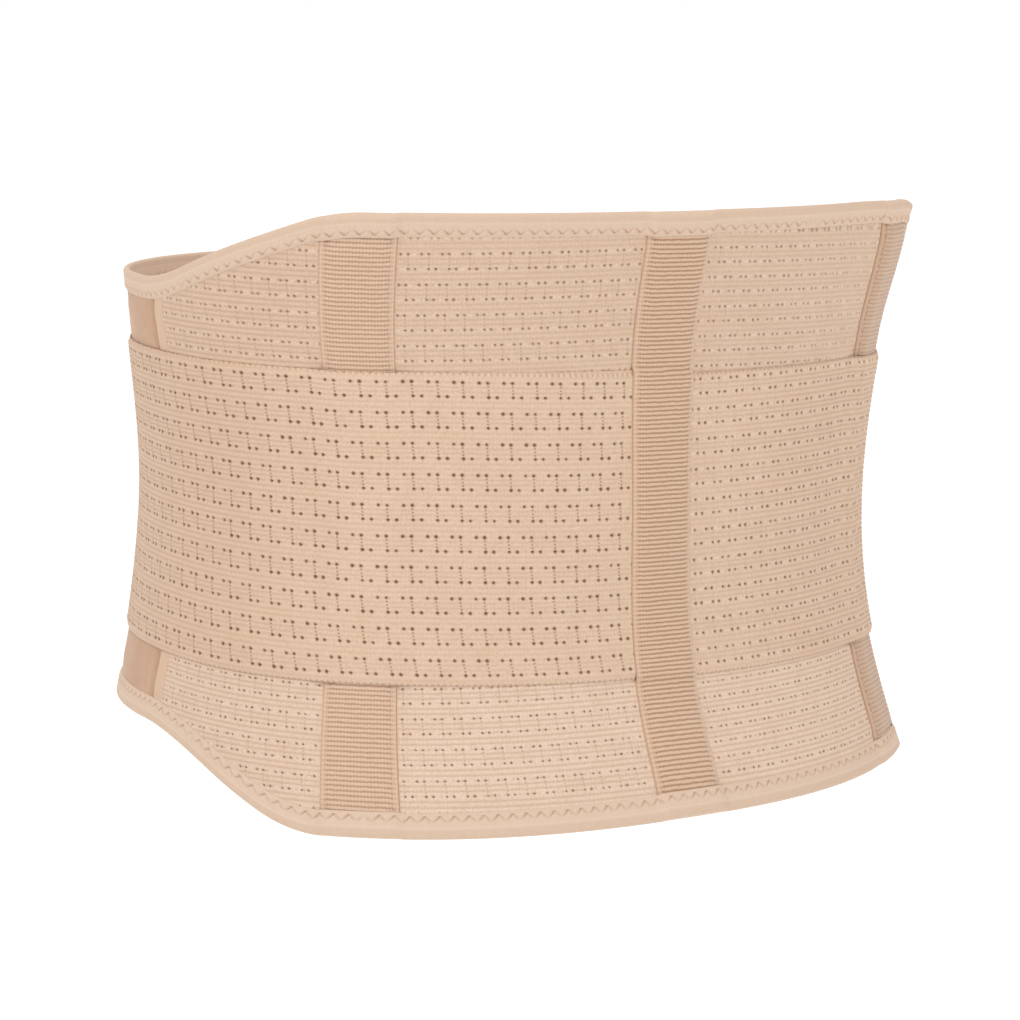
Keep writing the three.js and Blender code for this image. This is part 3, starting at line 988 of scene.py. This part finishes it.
class Field:
    """A number that varies over a surface, kept as shader nodes and written as arithmetic."""

    def __init__(self, tree, socket):
        self.tree = tree
        self.socket = socket

    def math(self, operation, *others):
        node = self.tree.nodes.new("ShaderNodeMath")
        node.operation = operation
        for slot, value in zip(node.inputs, (self, *others)):
            if isinstance(value, Field):
                self.tree.links.new(value.socket, slot)
            else:
                slot.default_value = value
        return Field(self.tree, node.outputs[0])

    def __add__(self, other):
        return self.math("ADD", other)

    def __sub__(self, other):
        return self.math("SUBTRACT", other)

    def __mul__(self, other):
        return self.math("MULTIPLY", other)

    def fract(self):
        return self.math("FRACT")

    def sign(self):
        return self.math("SIGN")

    def abs(self):
        return self.math("ABSOLUTE")

    def wave(self, cycles):
        """A cosine with that many cycles to each unit, from 0 to 1."""
        return (self * (2 * math.pi * cycles)).math("COSINE") * 0.5 + 0.5

    def hypot(self, other):
        return (self * self + other * other).math("SQRT")

    def least(self, other):
        return self.math("MINIMUM", other)

    def greatest(self, other):
        return self.math("MAXIMUM", other)

    def ramp(self, low, high):
        """Smoothly from 0 at low to 1 at high."""
        node = self.tree.nodes.new("ShaderNodeMapRange")
        node.interpolation_type = "SMOOTHSTEP"
        set_inputs(node, {"From Min": low, "From Max": high})
        self.tree.links.new(self.socket, node.inputs["Value"])
        return Field(self.tree, node.outputs["Result"])

    def fall(self, low, high):
        """Smoothly from 1 at low to 0 at high."""
        return self.ramp(low, high) * -1 + 1


LIGHT_GAIN = 1.14  # how much brighter than a white backdrop a white cloth would look here
SPECULAR = 0.2
SHEEN_ROUGHNESS = 0.4
SHEEN_TINT = (1.0, 0.92, 0.86)


def cloth_colour(shown):
    """The linear colour, by the usual screen curve, of a cloth that shows as this one from 0 to 255."""
    scaled = np.array(shown) / 255
    low, high = scaled / 12.92, ((scaled + 0.055) / 1.055) ** 2.4
    return tuple(np.where(scaled <= 0.04045, low, high) / LIGHT_GAIN)


def set_inputs(node, values):
    for socket, value in values.items():
        node.inputs[socket].default_value = value


class Fabric:
    """A cloth material whose colour and bump are built up from fields."""

    def __init__(self, name, colour, roughness, sheen, sheen_tint=SHEEN_TINT):
        self.material = bpy.data.materials.new(name)
        self.material.use_nodes = True
        self.tree = self.material.node_tree
        self.shader = self.tree.nodes["Principled BSDF"]
        set_inputs(self.shader, {
            "Roughness": roughness,
            "Specular IOR Level": SPECULAR,
            "Sheen Weight": sheen,
            "Sheen Roughness": SHEEN_ROUGHNESS,
            "Sheen Tint": (*sheen_tint, 1),
        })
        self.colour = cloth_colour(colour)
        self.material.diffuse_color = (*self.colour, 1)

    def cloth(self):
        node = self.tree.nodes.new("ShaderNodeUVMap")
        node.uv_map = "Cloth"
        split = self.tree.nodes.new("ShaderNodeSeparateXYZ")
        self.tree.links.new(node.outputs["UV"], split.inputs["Vector"])
        return Field(self.tree, split.outputs["X"]), Field(self.tree, split.outputs["Y"])

    def noise(self, size, detail=2.0):
        """Noise from 0 to 1 with features of about that many millimetres."""
        place = self.tree.nodes.new("ShaderNodeTexCoord")
        node = self.tree.nodes.new("ShaderNodeTexNoise")
        set_inputs(node, {"Scale": 1 / (size * MM), "Detail": detail})
        self.tree.links.new(place.outputs["Object"], node.inputs["Vector"])
        return Field(self.tree, node.outputs["Fac"])

    def tint(self, share, colour):
        """Lays a colour over what there is so far, as far as the share says."""
        node = self.tree.nodes.new("ShaderNodeMix")
        node.data_type = "RGBA"
        base, over = node.inputs[6], node.inputs[7]
        if isinstance(self.colour, tuple):
            base.default_value = (*self.colour, 1)
        else:
            self.tree.links.new(self.colour, base)
        over.default_value = (*cloth_colour(colour), 1)
        self.tree.links.new(share.socket, node.inputs["Factor"])
        self.colour = node.outputs[2]

    def finish(self, height, depth):
        """Sets the colour, and a bump of that many millimetres from a field from 0 to 1."""
        self.tree.links.new(self.colour, self.shader.inputs["Base Color"])
        bump = self.tree.nodes.new("ShaderNodeBump")
        bump.inputs["Distance"].default_value = depth * MM
        self.tree.links.new(height.socket, bump.inputs["Height"])
        self.tree.links.new(bump.outputs["Normal"], self.shader.inputs["Normal"])
        return self.material


# Looks of the knits. Places along are in repeats and places up in ribs: "side" is where a knit
# darkens to the sides with painted shade, "low" where its lower rows end, "open" where its pinholes
# open and "faint" where the painted shade of its upper holes fades. "hole" is the colour of the
# painted shade in the holes, pinholes and edge dots, "side_shade", "upper_shade", "groove" and
# "deep" set painted shade, and the float threads get a painted highlight.
BASE_LOOK = {
    "colour": (230, 204, 182), "hole": (158, 110, 76), "radius": 0.5, "depth": 0.58, "pinhole": 0.3,
    "groove": 0.2, "deep": 0.2, "side": (13, 22), "low": (24, 30), "wales": 5, "edges": (), "open": (-7, 1),
    "float_highlight": 0.5, "strip": 1.0, "upper_shade": 0.3, "lower_depth": 0.2, "faint": (-14, -6),
    "side_shade": 0.12,
}
BAND_LOOK = {
    "colour": (223, 195, 171), "hole": (128, 80, 48), "radius": 0.62, "depth": 0.85, "pinhole": 0.65,
    "groove": 0.2, "deep": 0.2, "side": (12, 20), "low": (-90, -80), "wales": 6, "open": (-2, -1),
    "float_highlight": 0.15, "strip": 0.0, "upper_shade": 0.0, "lower_depth": 0.0, "faint": (-90, -80),
    "side_shade": 0.2,
}
RIGHT_BAND_LOOK = {
    **BAND_LOOK, "hole": (146, 98, 64), "radius": 0.55, "pinhole": 0.06, "open": (-90, -80),
    "float_highlight": 0.5, "side": (3, 9), "deep": 0.25, "side_shade": 0.08,
}
# colour of the painted shade at the sides, over the upper rows and in the grooves; also of the darker wales
# and the mottling
KNIT_SHADE = (196, 161, 133)
KNIT_MOTTLES = ((1.1, 3.0, 0.26), (14, 2.0, 0.12))  # size, detail and strength
MOTTLE_RAMP = (0.35, 0.75)
WALES = {"size": 1.4, "patches": (0.3, 0.7), "share": 0.26}
GROOVE_RAMP = (0.3, 1)
RIB_PITCH = 2.0  # millimetres that a rib counts for where holes are drawn
MEANDER_MIDDLE = (LOW_HOLES[0] + HIGH_HOLES[1]) / 2
HOLE_RIM = (0.2, 1.4)  # a hole fades between these shares of its radius
HOLE_WOBBLE = 6  # size of the noise that makes holes uneven
UPPER_REACH = 0.8  # the upper rows' holes look wider, because distances from them count for less
FAINT_SHARE = 0.65
# Ribs between pinholes, their slant for each rib up, where one fades, and where their line ends.
PINHOLES = {"step": 0.75, "slant": 0.19, "rim": (0.1, 0.6), "end": (0.4, 0.2)}
# painted highlight on the float threads between the holes: its colour, rim, and the size and ramp of its
# patches
FLOAT_HIGHLIGHT = {"colour": (242, 219, 197), "rim": (0.25, 0.7), "size": 1.6, "patches": (0.35, 0.6)}
# dots of painted shadow under a band's picot edges
EDGE_DOTS = {"count": 4, "rim": (0.1, 0.5), "ramp": (0.35, 0.85), "share": 0.3}
STRIP = {"colour": (213, 181, 155), "fade": 0.3}


def hole_reach(fabric, x, y, from_row, knit, radius):
    """Distance from the nearest hole of a meander, made a little uneven."""
    # the motif looks the same turned upside down, so one half stands for both
    turned = x * y.sign() * knit["repeat"]
    inner, outer = [
        (turned - (share - MEANDER_MIDDLE) * knit["repeat"]).hypot(from_row) for share in HIGH_HOLES
    ]
    return outer.least(inner) - (fabric.noise(HOLE_WOBBLE, 1.0) - 0.5) * radius


def pinhole_line(across, x, y, knit, look):
    """The pinholes that join the lower pair of holes of a meander to the upper one."""
    step = PINHOLES["step"]
    from_pin = ((y * (1 / step) + 0.5).fract() - 0.5) * (step * RIB_PITCH)
    dots = (x * knit["repeat"] - y * PINHOLES["slant"]).hypot(from_pin).fall(*PINHOLES["rim"])
    ends = [RISE_RIBS / 2 - ribs for ribs in PINHOLES["end"]]
    return dots * y.abs().fall(*ends) * across.ramp(*look["open"])


def shade_knit(fabric, across, up, wale, lower, look):
    """Painted shade at the sides, over the upper rows and in the grooves; darker wales; an uneven tone."""
    beside = across.abs().ramp(*look["side"])
    groove = up.wave(1).ramp(*GROOVE_RAMP)
    patches = fabric.noise(WALES["size"]).ramp(*WALES["patches"])
    # painted shade: to the sides, over the upper rows, and in the grooves, deeper at the sides and low down
    fabric.tint(beside * look["side_shade"], KNIT_SHADE)
    fabric.tint(lower.fall(0, 1) * look["upper_shade"], KNIT_SHADE)
    fabric.tint(groove * (beside.greatest(lower) * look["deep"] + look["groove"]), KNIT_SHADE)
    fabric.tint(wale * patches * WALES["share"], KNIT_SHADE)
    for size, detail, share in KNIT_MOTTLES:
        fabric.tint(fabric.noise(size, detail).ramp(*MOTTLE_RAMP) * share, KNIT_SHADE)


def paint_edges(fabric, across, up, knit, look):
    """Painted shadow dots under a band's picot edges, and the seam strip at the ends of the back panel."""
    for rib in look["edges"]:
        dots = across.wave(EDGE_DOTS["count"]).ramp(*EDGE_DOTS["ramp"])
        dots = (up - rib).abs().fall(*EDGE_DOTS["rim"]) * dots
        # painted shadow of the picot edge, in the colour of the painted hole shade
        fabric.tint(dots * EDGE_DOTS["share"], look["hole"])
    start = SIDE_SEAM - SEAM_STRIP
    strip = (across * knit["repeat"] + knit["phase"]).abs().ramp(start, start + STRIP["fade"])
    fabric.tint(strip * look["strip"], STRIP["colour"])


def knit_material(name, knit, look):
    """Ribbed knit with painted shade in its meander of holes. Cloth coordinates are repeats along and ribs
    up.
    """
    fabric = Fabric(name, look["colour"], 0.85, 0.12)
    across, up = fabric.cloth()
    x = (across - (MEANDER_MIDDLE - 0.5)).fract() - 0.5
    y = ((up - RISE_RIBS / 2) * (1 / MEANDER_RIBS) + 0.5).fract() * MEANDER_RIBS - MEANDER_RIBS / 2
    from_row = (y.abs() - RISE_RIBS / 2) * RIB_PITCH
    lower = up.fall(*look["low"])
    radius = look["radius"]
    reach = hole_reach(fabric, x, y, from_row, knit, radius)
    reach = reach * (lower * (1 - UPPER_REACH) + UPPER_REACH)
    hole = reach.fall(HOLE_RIM[0] * radius, HOLE_RIM[1] * radius)
    pinhole = pinhole_line(across, x, y, knit, look)
    wale = (across * look["wales"] + (up.fract() - 0.5).abs()).wave(1)
    shade_knit(fabric, across, up, wale, lower, look)
    # painted highlight on the float threads that cross between the holes
    float_highlight = from_row.abs().fall(*FLOAT_HIGHLIGHT["rim"])
    float_highlight = float_highlight * fabric.noise(FLOAT_HIGHLIGHT["size"], 1.0).ramp(*FLOAT_HIGHLIGHT["patches"])
    fabric.tint(float_highlight * look["float_highlight"], FLOAT_HIGHLIGHT["colour"])
    # painted shade in the pinholes
    fabric.tint(pinhole * look["pinhole"], look["hole"])
    # painted shade in the holes, deeper in the lower rows and fading in the upper rows toward the right
    faint = lower.fall(0, 1) * across.fall(*look["faint"]) * FAINT_SHARE
    depth = (lower * look["lower_depth"] + look["depth"]) * faint.fall(0, 1)
    fabric.tint(hole * depth, look["hole"])
    paint_edges(fabric, across, up, knit, look)
    height = wale * 0.25 + fabric.noise(0.8) * 0.6 - hole * 0.5 - pinhole * 0.5
    return fabric.finish(height, 0.25)


def band_look(band):
    """The band's look, with the ribs of its lower and upper edge."""
    rows = {**BAND_ROWS, "level": band["bottom"] + BAND_FIRST_ROW}
    thirds = rib_steps(rows)
    edges = np.interp((band["bottom"], band["top"]), rib_levels(rows, thirds), thirds / STEPS_PER_RIB)
    look = BAND_LOOK if band["sign"] > 0 else RIGHT_BAND_LOOK
    return {**look, "edges": tuple(float(rib) for rib in edges)}


VELOUR = {
    "base": (196, 158, 129), "nap": (172, 135, 108),
    "light": (212, 179, 153), "dark": (178, 140, 112),
}
HOOK_TAB = {"base": (200, 166, 140), "nap": (178, 142, 116)}


def velour_material():
    fabric = Fabric("velour", VELOUR["base"], 0.95, 0.25, (1.0, 0.93, 0.91))
    nap = fabric.noise(0.5, 3.0)
    fabric.tint(nap * 0.25, VELOUR["nap"])
    fabric.tint(fabric.noise(18).ramp(0.4, 0.75) * 0.3, VELOUR["light"])
    fabric.tint(fabric.noise(4).ramp(0.4, 0.7) * 0.2, VELOUR["dark"])
    return fabric.finish(nap, 0.12)


def tab_material():
    fabric = Fabric("hook_tab", HOOK_TAB["base"], 0.95, 0.12, (1.0, 0.9, 0.86))
    nap = fabric.noise(0.6, 3.0)
    fabric.tint(nap * 0.3, HOOK_TAB["nap"])
    return fabric.finish(nap, 0.15)


# Ribbed tape: spacing of its warp, its painted shades, and for each casing the colour of its ribs,
# lighter or darker by how the light falls on that casing, and how dark the painted shade in the gaps
# between ribs and along its stitched seams is.
WARP_PITCH = 1.15
# painted shade in the gaps between ribs, also used for the darker warp lines; painted shade along the seams
# and painted shadow at the rims; and a random mottle
RIBBED_SHADES_AND_MOTTLE = {"gap": (162, 120, 88), "mottle": (190, 154, 126), "seam": (164, 116, 82), "rim": (172, 124, 90)}
CASING_SHADED_LOOKS = {
    "left": ((222, 192, 167), 0.55, 0.1),
    "centre": ((221, 191, 165), 0.72, 0.1),
    "right": ((206, 176, 151), 0.32, 0.8),
}


def ribbed_material(name, colour, rib_shade, seam_shade):
    """Grosgrain tape with painted shade in the gaps between its ribs, along its seams and at its rims.
    Cloth coordinates are shares of its width and ribs up.
    """
    fabric = Fabric(name, colour, 0.8, 0.45, (1.0, 0.94, 0.9))
    across, up = fabric.cloth()
    warp = across.wave(CASING_WIDTH / WARP_PITCH)
    gap = (up + (fabric.noise(2.2, 1.0) - 0.5) * 0.3 + warp * 0.06).wave(1).ramp(0.3, 0.95)
    from_rim = (((across - 0.5).abs() * -1) + 0.5) * CASING_WIDTH
    ribbed = from_rim.ramp(0.8, 2.8) * 0.7 + 0.3
    # painted shade in the gaps between ribs
    fabric.tint(gap * ribbed * (warp * 0.2 + rib_shade), RIBBED_SHADES_AND_MOTTLE["gap"])
    fabric.tint(warp.ramp(0.4, 1) * 0.1, RIBBED_SHADES_AND_MOTTLE["gap"])
    fabric.tint(fabric.noise(1.1) * 0.2, RIBBED_SHADES_AND_MOTTLE["mottle"])
    # painted shade in the groove of each stitched seam
    seam = (from_rim - SELVEDGE).abs().fall(0.25, 0.75) * fabric.noise(1.5, 1.0).ramp(0.3, 0.6)
    fabric.tint(seam * seam_shade, RIBBED_SHADES_AND_MOTTLE["seam"])
    # painted shadow along both rims
    fabric.tint(from_rim.fall(0.1, 0.55) * 0.45, RIBBED_SHADES_AND_MOTTLE["rim"])
    return fabric.finish(warp * -0.6 + fabric.noise(0.6) * 0.4, 0.25)


# of its colours, the darker ones carry painted shade and the lightest a painted highlight; the shade colour
# also tints the weave and the mottling
EDGE_TAPE = {
    "base": (222, 196, 174), "shade": (190, 155, 128),
    "crease_shade": (166, 122, 88), "fold": (236, 214, 194),
}
# how dark the painted shade in each leg's crease is, stronger on the leg the light leaves in shade
CREASES = ((-0.5, 0.65), (0.5, 0.35))  # slant of each leg of the zigzag, and how dark its crease is
# depth of the fold line, with a painted highlight along it and painted shade between it and the edge
FOLD_LINE = 3.6
SEWING_THREAD = {"base": (219, 189, 164), "shade": (190, 155, 128)}


def tape_material():
    """Smooth edge tape with painted shade in its zigzag creases and on its fold, and a painted highlight
    along the fold line. Cloth coordinates are along and depth from the edge.
    """
    fabric = Fabric("edge_tape", EDGE_TAPE["base"], 0.8, 0.1)
    along, depth = fabric.cloth()
    upper, lower = ZIGZAG_DEPTHS
    down = (depth - upper) * (1 / (lower - upper))
    stitched = down.ramp(0.0, 0.6) * down.fall(0.95, 1.15)
    turn = along * (1 / ZIGZAG_PITCH)
    # painted shade in the creases of the zigzag
    for slant, strength in CREASES:
        beside = ((turn - down * slant + 0.5).fract() - 0.5) * ZIGZAG_PITCH
        patch = fabric.noise(9, 1.0).ramp(0.2, 0.45)
        fabric.tint((beside + 0.3).abs().fall(0.1, 0.95) * stitched * patch * strength, EDGE_TAPE["crease_shade"])
    thread = along.wave(1 / 0.9)
    fabric.tint(thread * 0.1, EDGE_TAPE["shade"])
    fabric.tint(fabric.noise(2.5) * 0.2, EDGE_TAPE["shade"])
    # painted shade on the rounded fold near the edge
    fabric.tint(depth.fall(2.4, FOLD_LINE) * 0.18, EDGE_TAPE["shade"])
    # painted highlight along the fold line
    fabric.tint((depth - FOLD_LINE).abs().fall(0.1, 0.6) * 0.15, EDGE_TAPE["fold"])
    return fabric.finish(thread * 0.5 + fabric.noise(0.7) * 0.5, 0.12)


def thread_material():
    fabric = Fabric("sewing_thread", SEWING_THREAD["base"], 0.7, 0.1)
    fabric.tint(fabric.noise(0.4) * 0.3, SEWING_THREAD["shade"])
    return fabric.finish(fabric.noise(0.3), 0.05)


# The belt

def dress(piece, slot_name, *nodes):
    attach(piece, "root")
    if nodes:
        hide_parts(*nodes)
    return piece


def flat_sheet(width, length, share=1.0):
    """Works out a sheet's cut in metres and the area of the share of it that the sheet fills, and keeps
    neither.
    """
    width, length = width * MM, length * MM
    area = None if share == 1.0 else share * width * length


def build_panels(knit, velour):
    panel = dress(back_panel(knit), "knit_elastic", "back_panel")
    tall = TOP_EDGE["back"] - BOTTOM_EDGE["back"] - 2 * PANEL_INSET
    flat_sheet(tall, 2 * SIDE_SEAM, 0.95)
    short = TOP_EDGE["front"] - BOTTOM_EDGE["front"] - 2 * PANEL_INSET
    for side, sign, past in (("left", 1, OVER_PANEL_PAST), ("right", -1, UNDER_PANEL_PAST)):
        front = dress(front_panel(side, sign, past, velour), "velour", f"front_panel_{side}")
        flat_sheet(short, FRONT + past - SIDE_SEAM)


def build_bindings(tape, thread):
    length = 2 * FRONT + OVER_PANEL_PAST + UNDER_PANEL_PAST
    for side, edge, up in (("top", TOP_EDGE, 1), ("bottom", BOTTOM_EDGE, -1)):
        piece = dress(binding(f"{side}_binding_tape", edge, up, tape), "edge_tape", f"{side}_binding")
        seam = dress(zigzag(f"{side}_binding_stitches", edge, up, thread), "edge_tape")
        flat_sheet(2 * TAPE_WIDTH + PANEL, length)


def build_casings(thread):
    tall = TOP_EDGE["back"] - BOTTOM_EDGE["back"] - 2 * CASING_INSET
    for side in CASING_COURSES:
        # each casing gets its own lit or shaded copy of the ribbed tape
        ribbed = ribbed_material(f"ribbed_tape_{side}", *CASING_SHADED_LOOKS[side])
        piece = dress(casing(side, ribbed), "ribbed_tape", f"stay_casing_{side}")
        seam = dress(casing_stitches(side, thread), "ribbed_tape")
        flat_sheet(CASING_WIDTH, tall)


def build_bands(knits, tab_face, thread):
    for band in BANDS:
        side = band["side"]
        piece = dress(tension_band(band, knits[side]), "band_elastic", f"tension_band_{side}")
        tall = band["top"] - band["bottom"]
        flat_sheet(tall, FRONT - BAND_END)
        tab = dress(closure_tab(band, tab_face), "hook_tab", f"closure_tab_{side}")
        seam = dress(tab_stitches(band, thread), "hook_tab")
        flat_sheet(tall - 2 * TAB_MARGIN, TAB_ROOT - TAB_TIP)


def build_belt():
    thread = thread_material()
    base = knit_material("knit_elastic", BASE_KNIT, BASE_LOOK)
    knits = {
        band["side"]: knit_material(f"band_elastic_{band['side']}", band["knit"], band_look(band))
        for band in BANDS
    }
    build_panels(base, velour_material())
    build_bindings(tape_material(), thread)
    build_casings(thread)
    build_bands(knits, tab_material(), thread)


# Stage, light and camera

CAMERA = {"distance": 1450.7, "turn": 30.78, "rise": 8.52, "roll": 1.51}
PHOTO_SIDE = 1020
ORIGIN_IN_PHOTO = (508.05, 465.86)  # pixels from the left and from the top
PIXELS_PER_MM = 2.3417  # at the origin
SENSOR = 36
FLOOR_DROP = 620
FLOOR_SIDE = 24000
FLOOR_GLOW = 0.3
WHITE = (1, 1, 1, 1)
VIEW_END = 100  # metres
STUDIO_FRONT = 0.6  # brightness on the camera's side, where behind the belt it is 1
STUDIO_FALL = (-0.3, 0.3)
# Soft lights: place to the right of the belt, above it and towards the camera, side and power.
SOFTBOXES = {"key": (-650, 1200, 1100, 1200, 15), "fill": (900, 800, 1200, 1400, 8)}


def camera_axes():
    """Unit vectors to the right, up and back from the view, before the roll."""
    turn, rise = math.radians(CAMERA["turn"]), math.radians(CAMERA["rise"])
    back = Vector((math.sin(turn) * math.cos(rise), math.cos(turn) * math.cos(rise), math.sin(rise)))
    right = Vector((-math.cos(turn), math.sin(turn), 0))
    return right, back.cross(right), back


def add_camera():
    right, up, back = camera_axes()
    roll = math.radians(CAMERA["roll"])
    rolled_right = right * math.cos(roll) + up * math.sin(roll)
    rolled_up = up * math.cos(roll) - right * math.sin(roll)
    data = bpy.data.cameras.new("camera")
    data.sensor_width = SENSOR
    data.lens = PIXELS_PER_MM * CAMERA["distance"] * SENSOR / PHOTO_SIDE
    data.shift_x = (PHOTO_SIDE / 2 - ORIGIN_IN_PHOTO[0]) / PHOTO_SIDE
    data.shift_y = (ORIGIN_IN_PHOTO[1] - PHOTO_SIDE / 2) / PHOTO_SIDE
    data.clip_end = VIEW_END
    camera = bpy.data.objects.new("camera", data)
    axes = Matrix((rolled_right, rolled_up, back)).transposed().to_4x4()
    camera.matrix_world = Matrix.Translation(back * CAMERA["distance"] * MM) @ axes
    bpy.context.collection.objects.link(camera)
    bpy.context.scene.camera = camera


def add_softbox(name, right_of, above, behind, side, power):
    """A square light, placed in millimetres from the belt as the camera sees it, and aimed at it."""
    right, up, back = camera_axes()
    place = (right * right_of + up * above + back * behind) * MM
    data = bpy.data.lights.new(name, "AREA")
    data.size = side * MM
    data.energy = power
    light = bpy.data.objects.new(name, data)
    light.location = place
    light.rotation_euler = place.to_track_quat("Z", "Y").to_euler()
    bpy.context.collection.objects.link(light)


def add_floor():
    half = FLOOR_SIDE * MM / 2
    corners = [(x * half, y * half, -FLOOR_DROP * MM) for x, y in ((-1, -1), (1, -1), (1, 1), (-1, 1))]
    mesh = bpy.data.meshes.new("floor")
    mesh.from_pydata(corners, [], [(0, 1, 2, 3)])
    paint = bpy.data.materials.new("floor_paint")
    paint.use_nodes = True
    shader = paint.node_tree.nodes["Principled BSDF"]
    set_inputs(shader, {"Base Color": WHITE, "Emission Color": WHITE})
    set_inputs(shader, {"Roughness": 1, "Emission Strength": FLOOR_GLOW})
    mesh.materials.append(paint)
    floor = bpy.data.objects.new("floor", mesh)
    bpy.context.collection.objects.link(floor)


def add_world():
    """A studio that is white behind the belt and dimmer round the camera, so that relief shows."""
    world = bpy.data.worlds.new("studio")
    world.use_nodes = True
    tree = world.node_tree
    place = tree.nodes.new("ShaderNodeTexCoord")
    facing = tree.nodes.new("ShaderNodeVectorMath")
    facing.operation = "DOT_PRODUCT"
    facing.inputs[1].default_value = camera_axes()[2]
    tree.links.new(place.outputs["Generated"], facing.inputs[0])
    light = Field(tree, facing.outputs["Value"]).fall(*STUDIO_FALL) * (1 - STUDIO_FRONT) + STUDIO_FRONT
    sky = tree.nodes["Background"]
    sky.inputs["Color"].default_value = WHITE
    tree.links.new(light.socket, sky.inputs["Strength"])
    bpy.context.scene.world = world


def add_studio():
    add_world()
    add_floor()
    for name, values in SOFTBOXES.items():
        add_softbox(name, *values)
    add_camera()
    bpy.context.scene.view_settings.view_transform = "Standard"


build_belt()
add_studio()
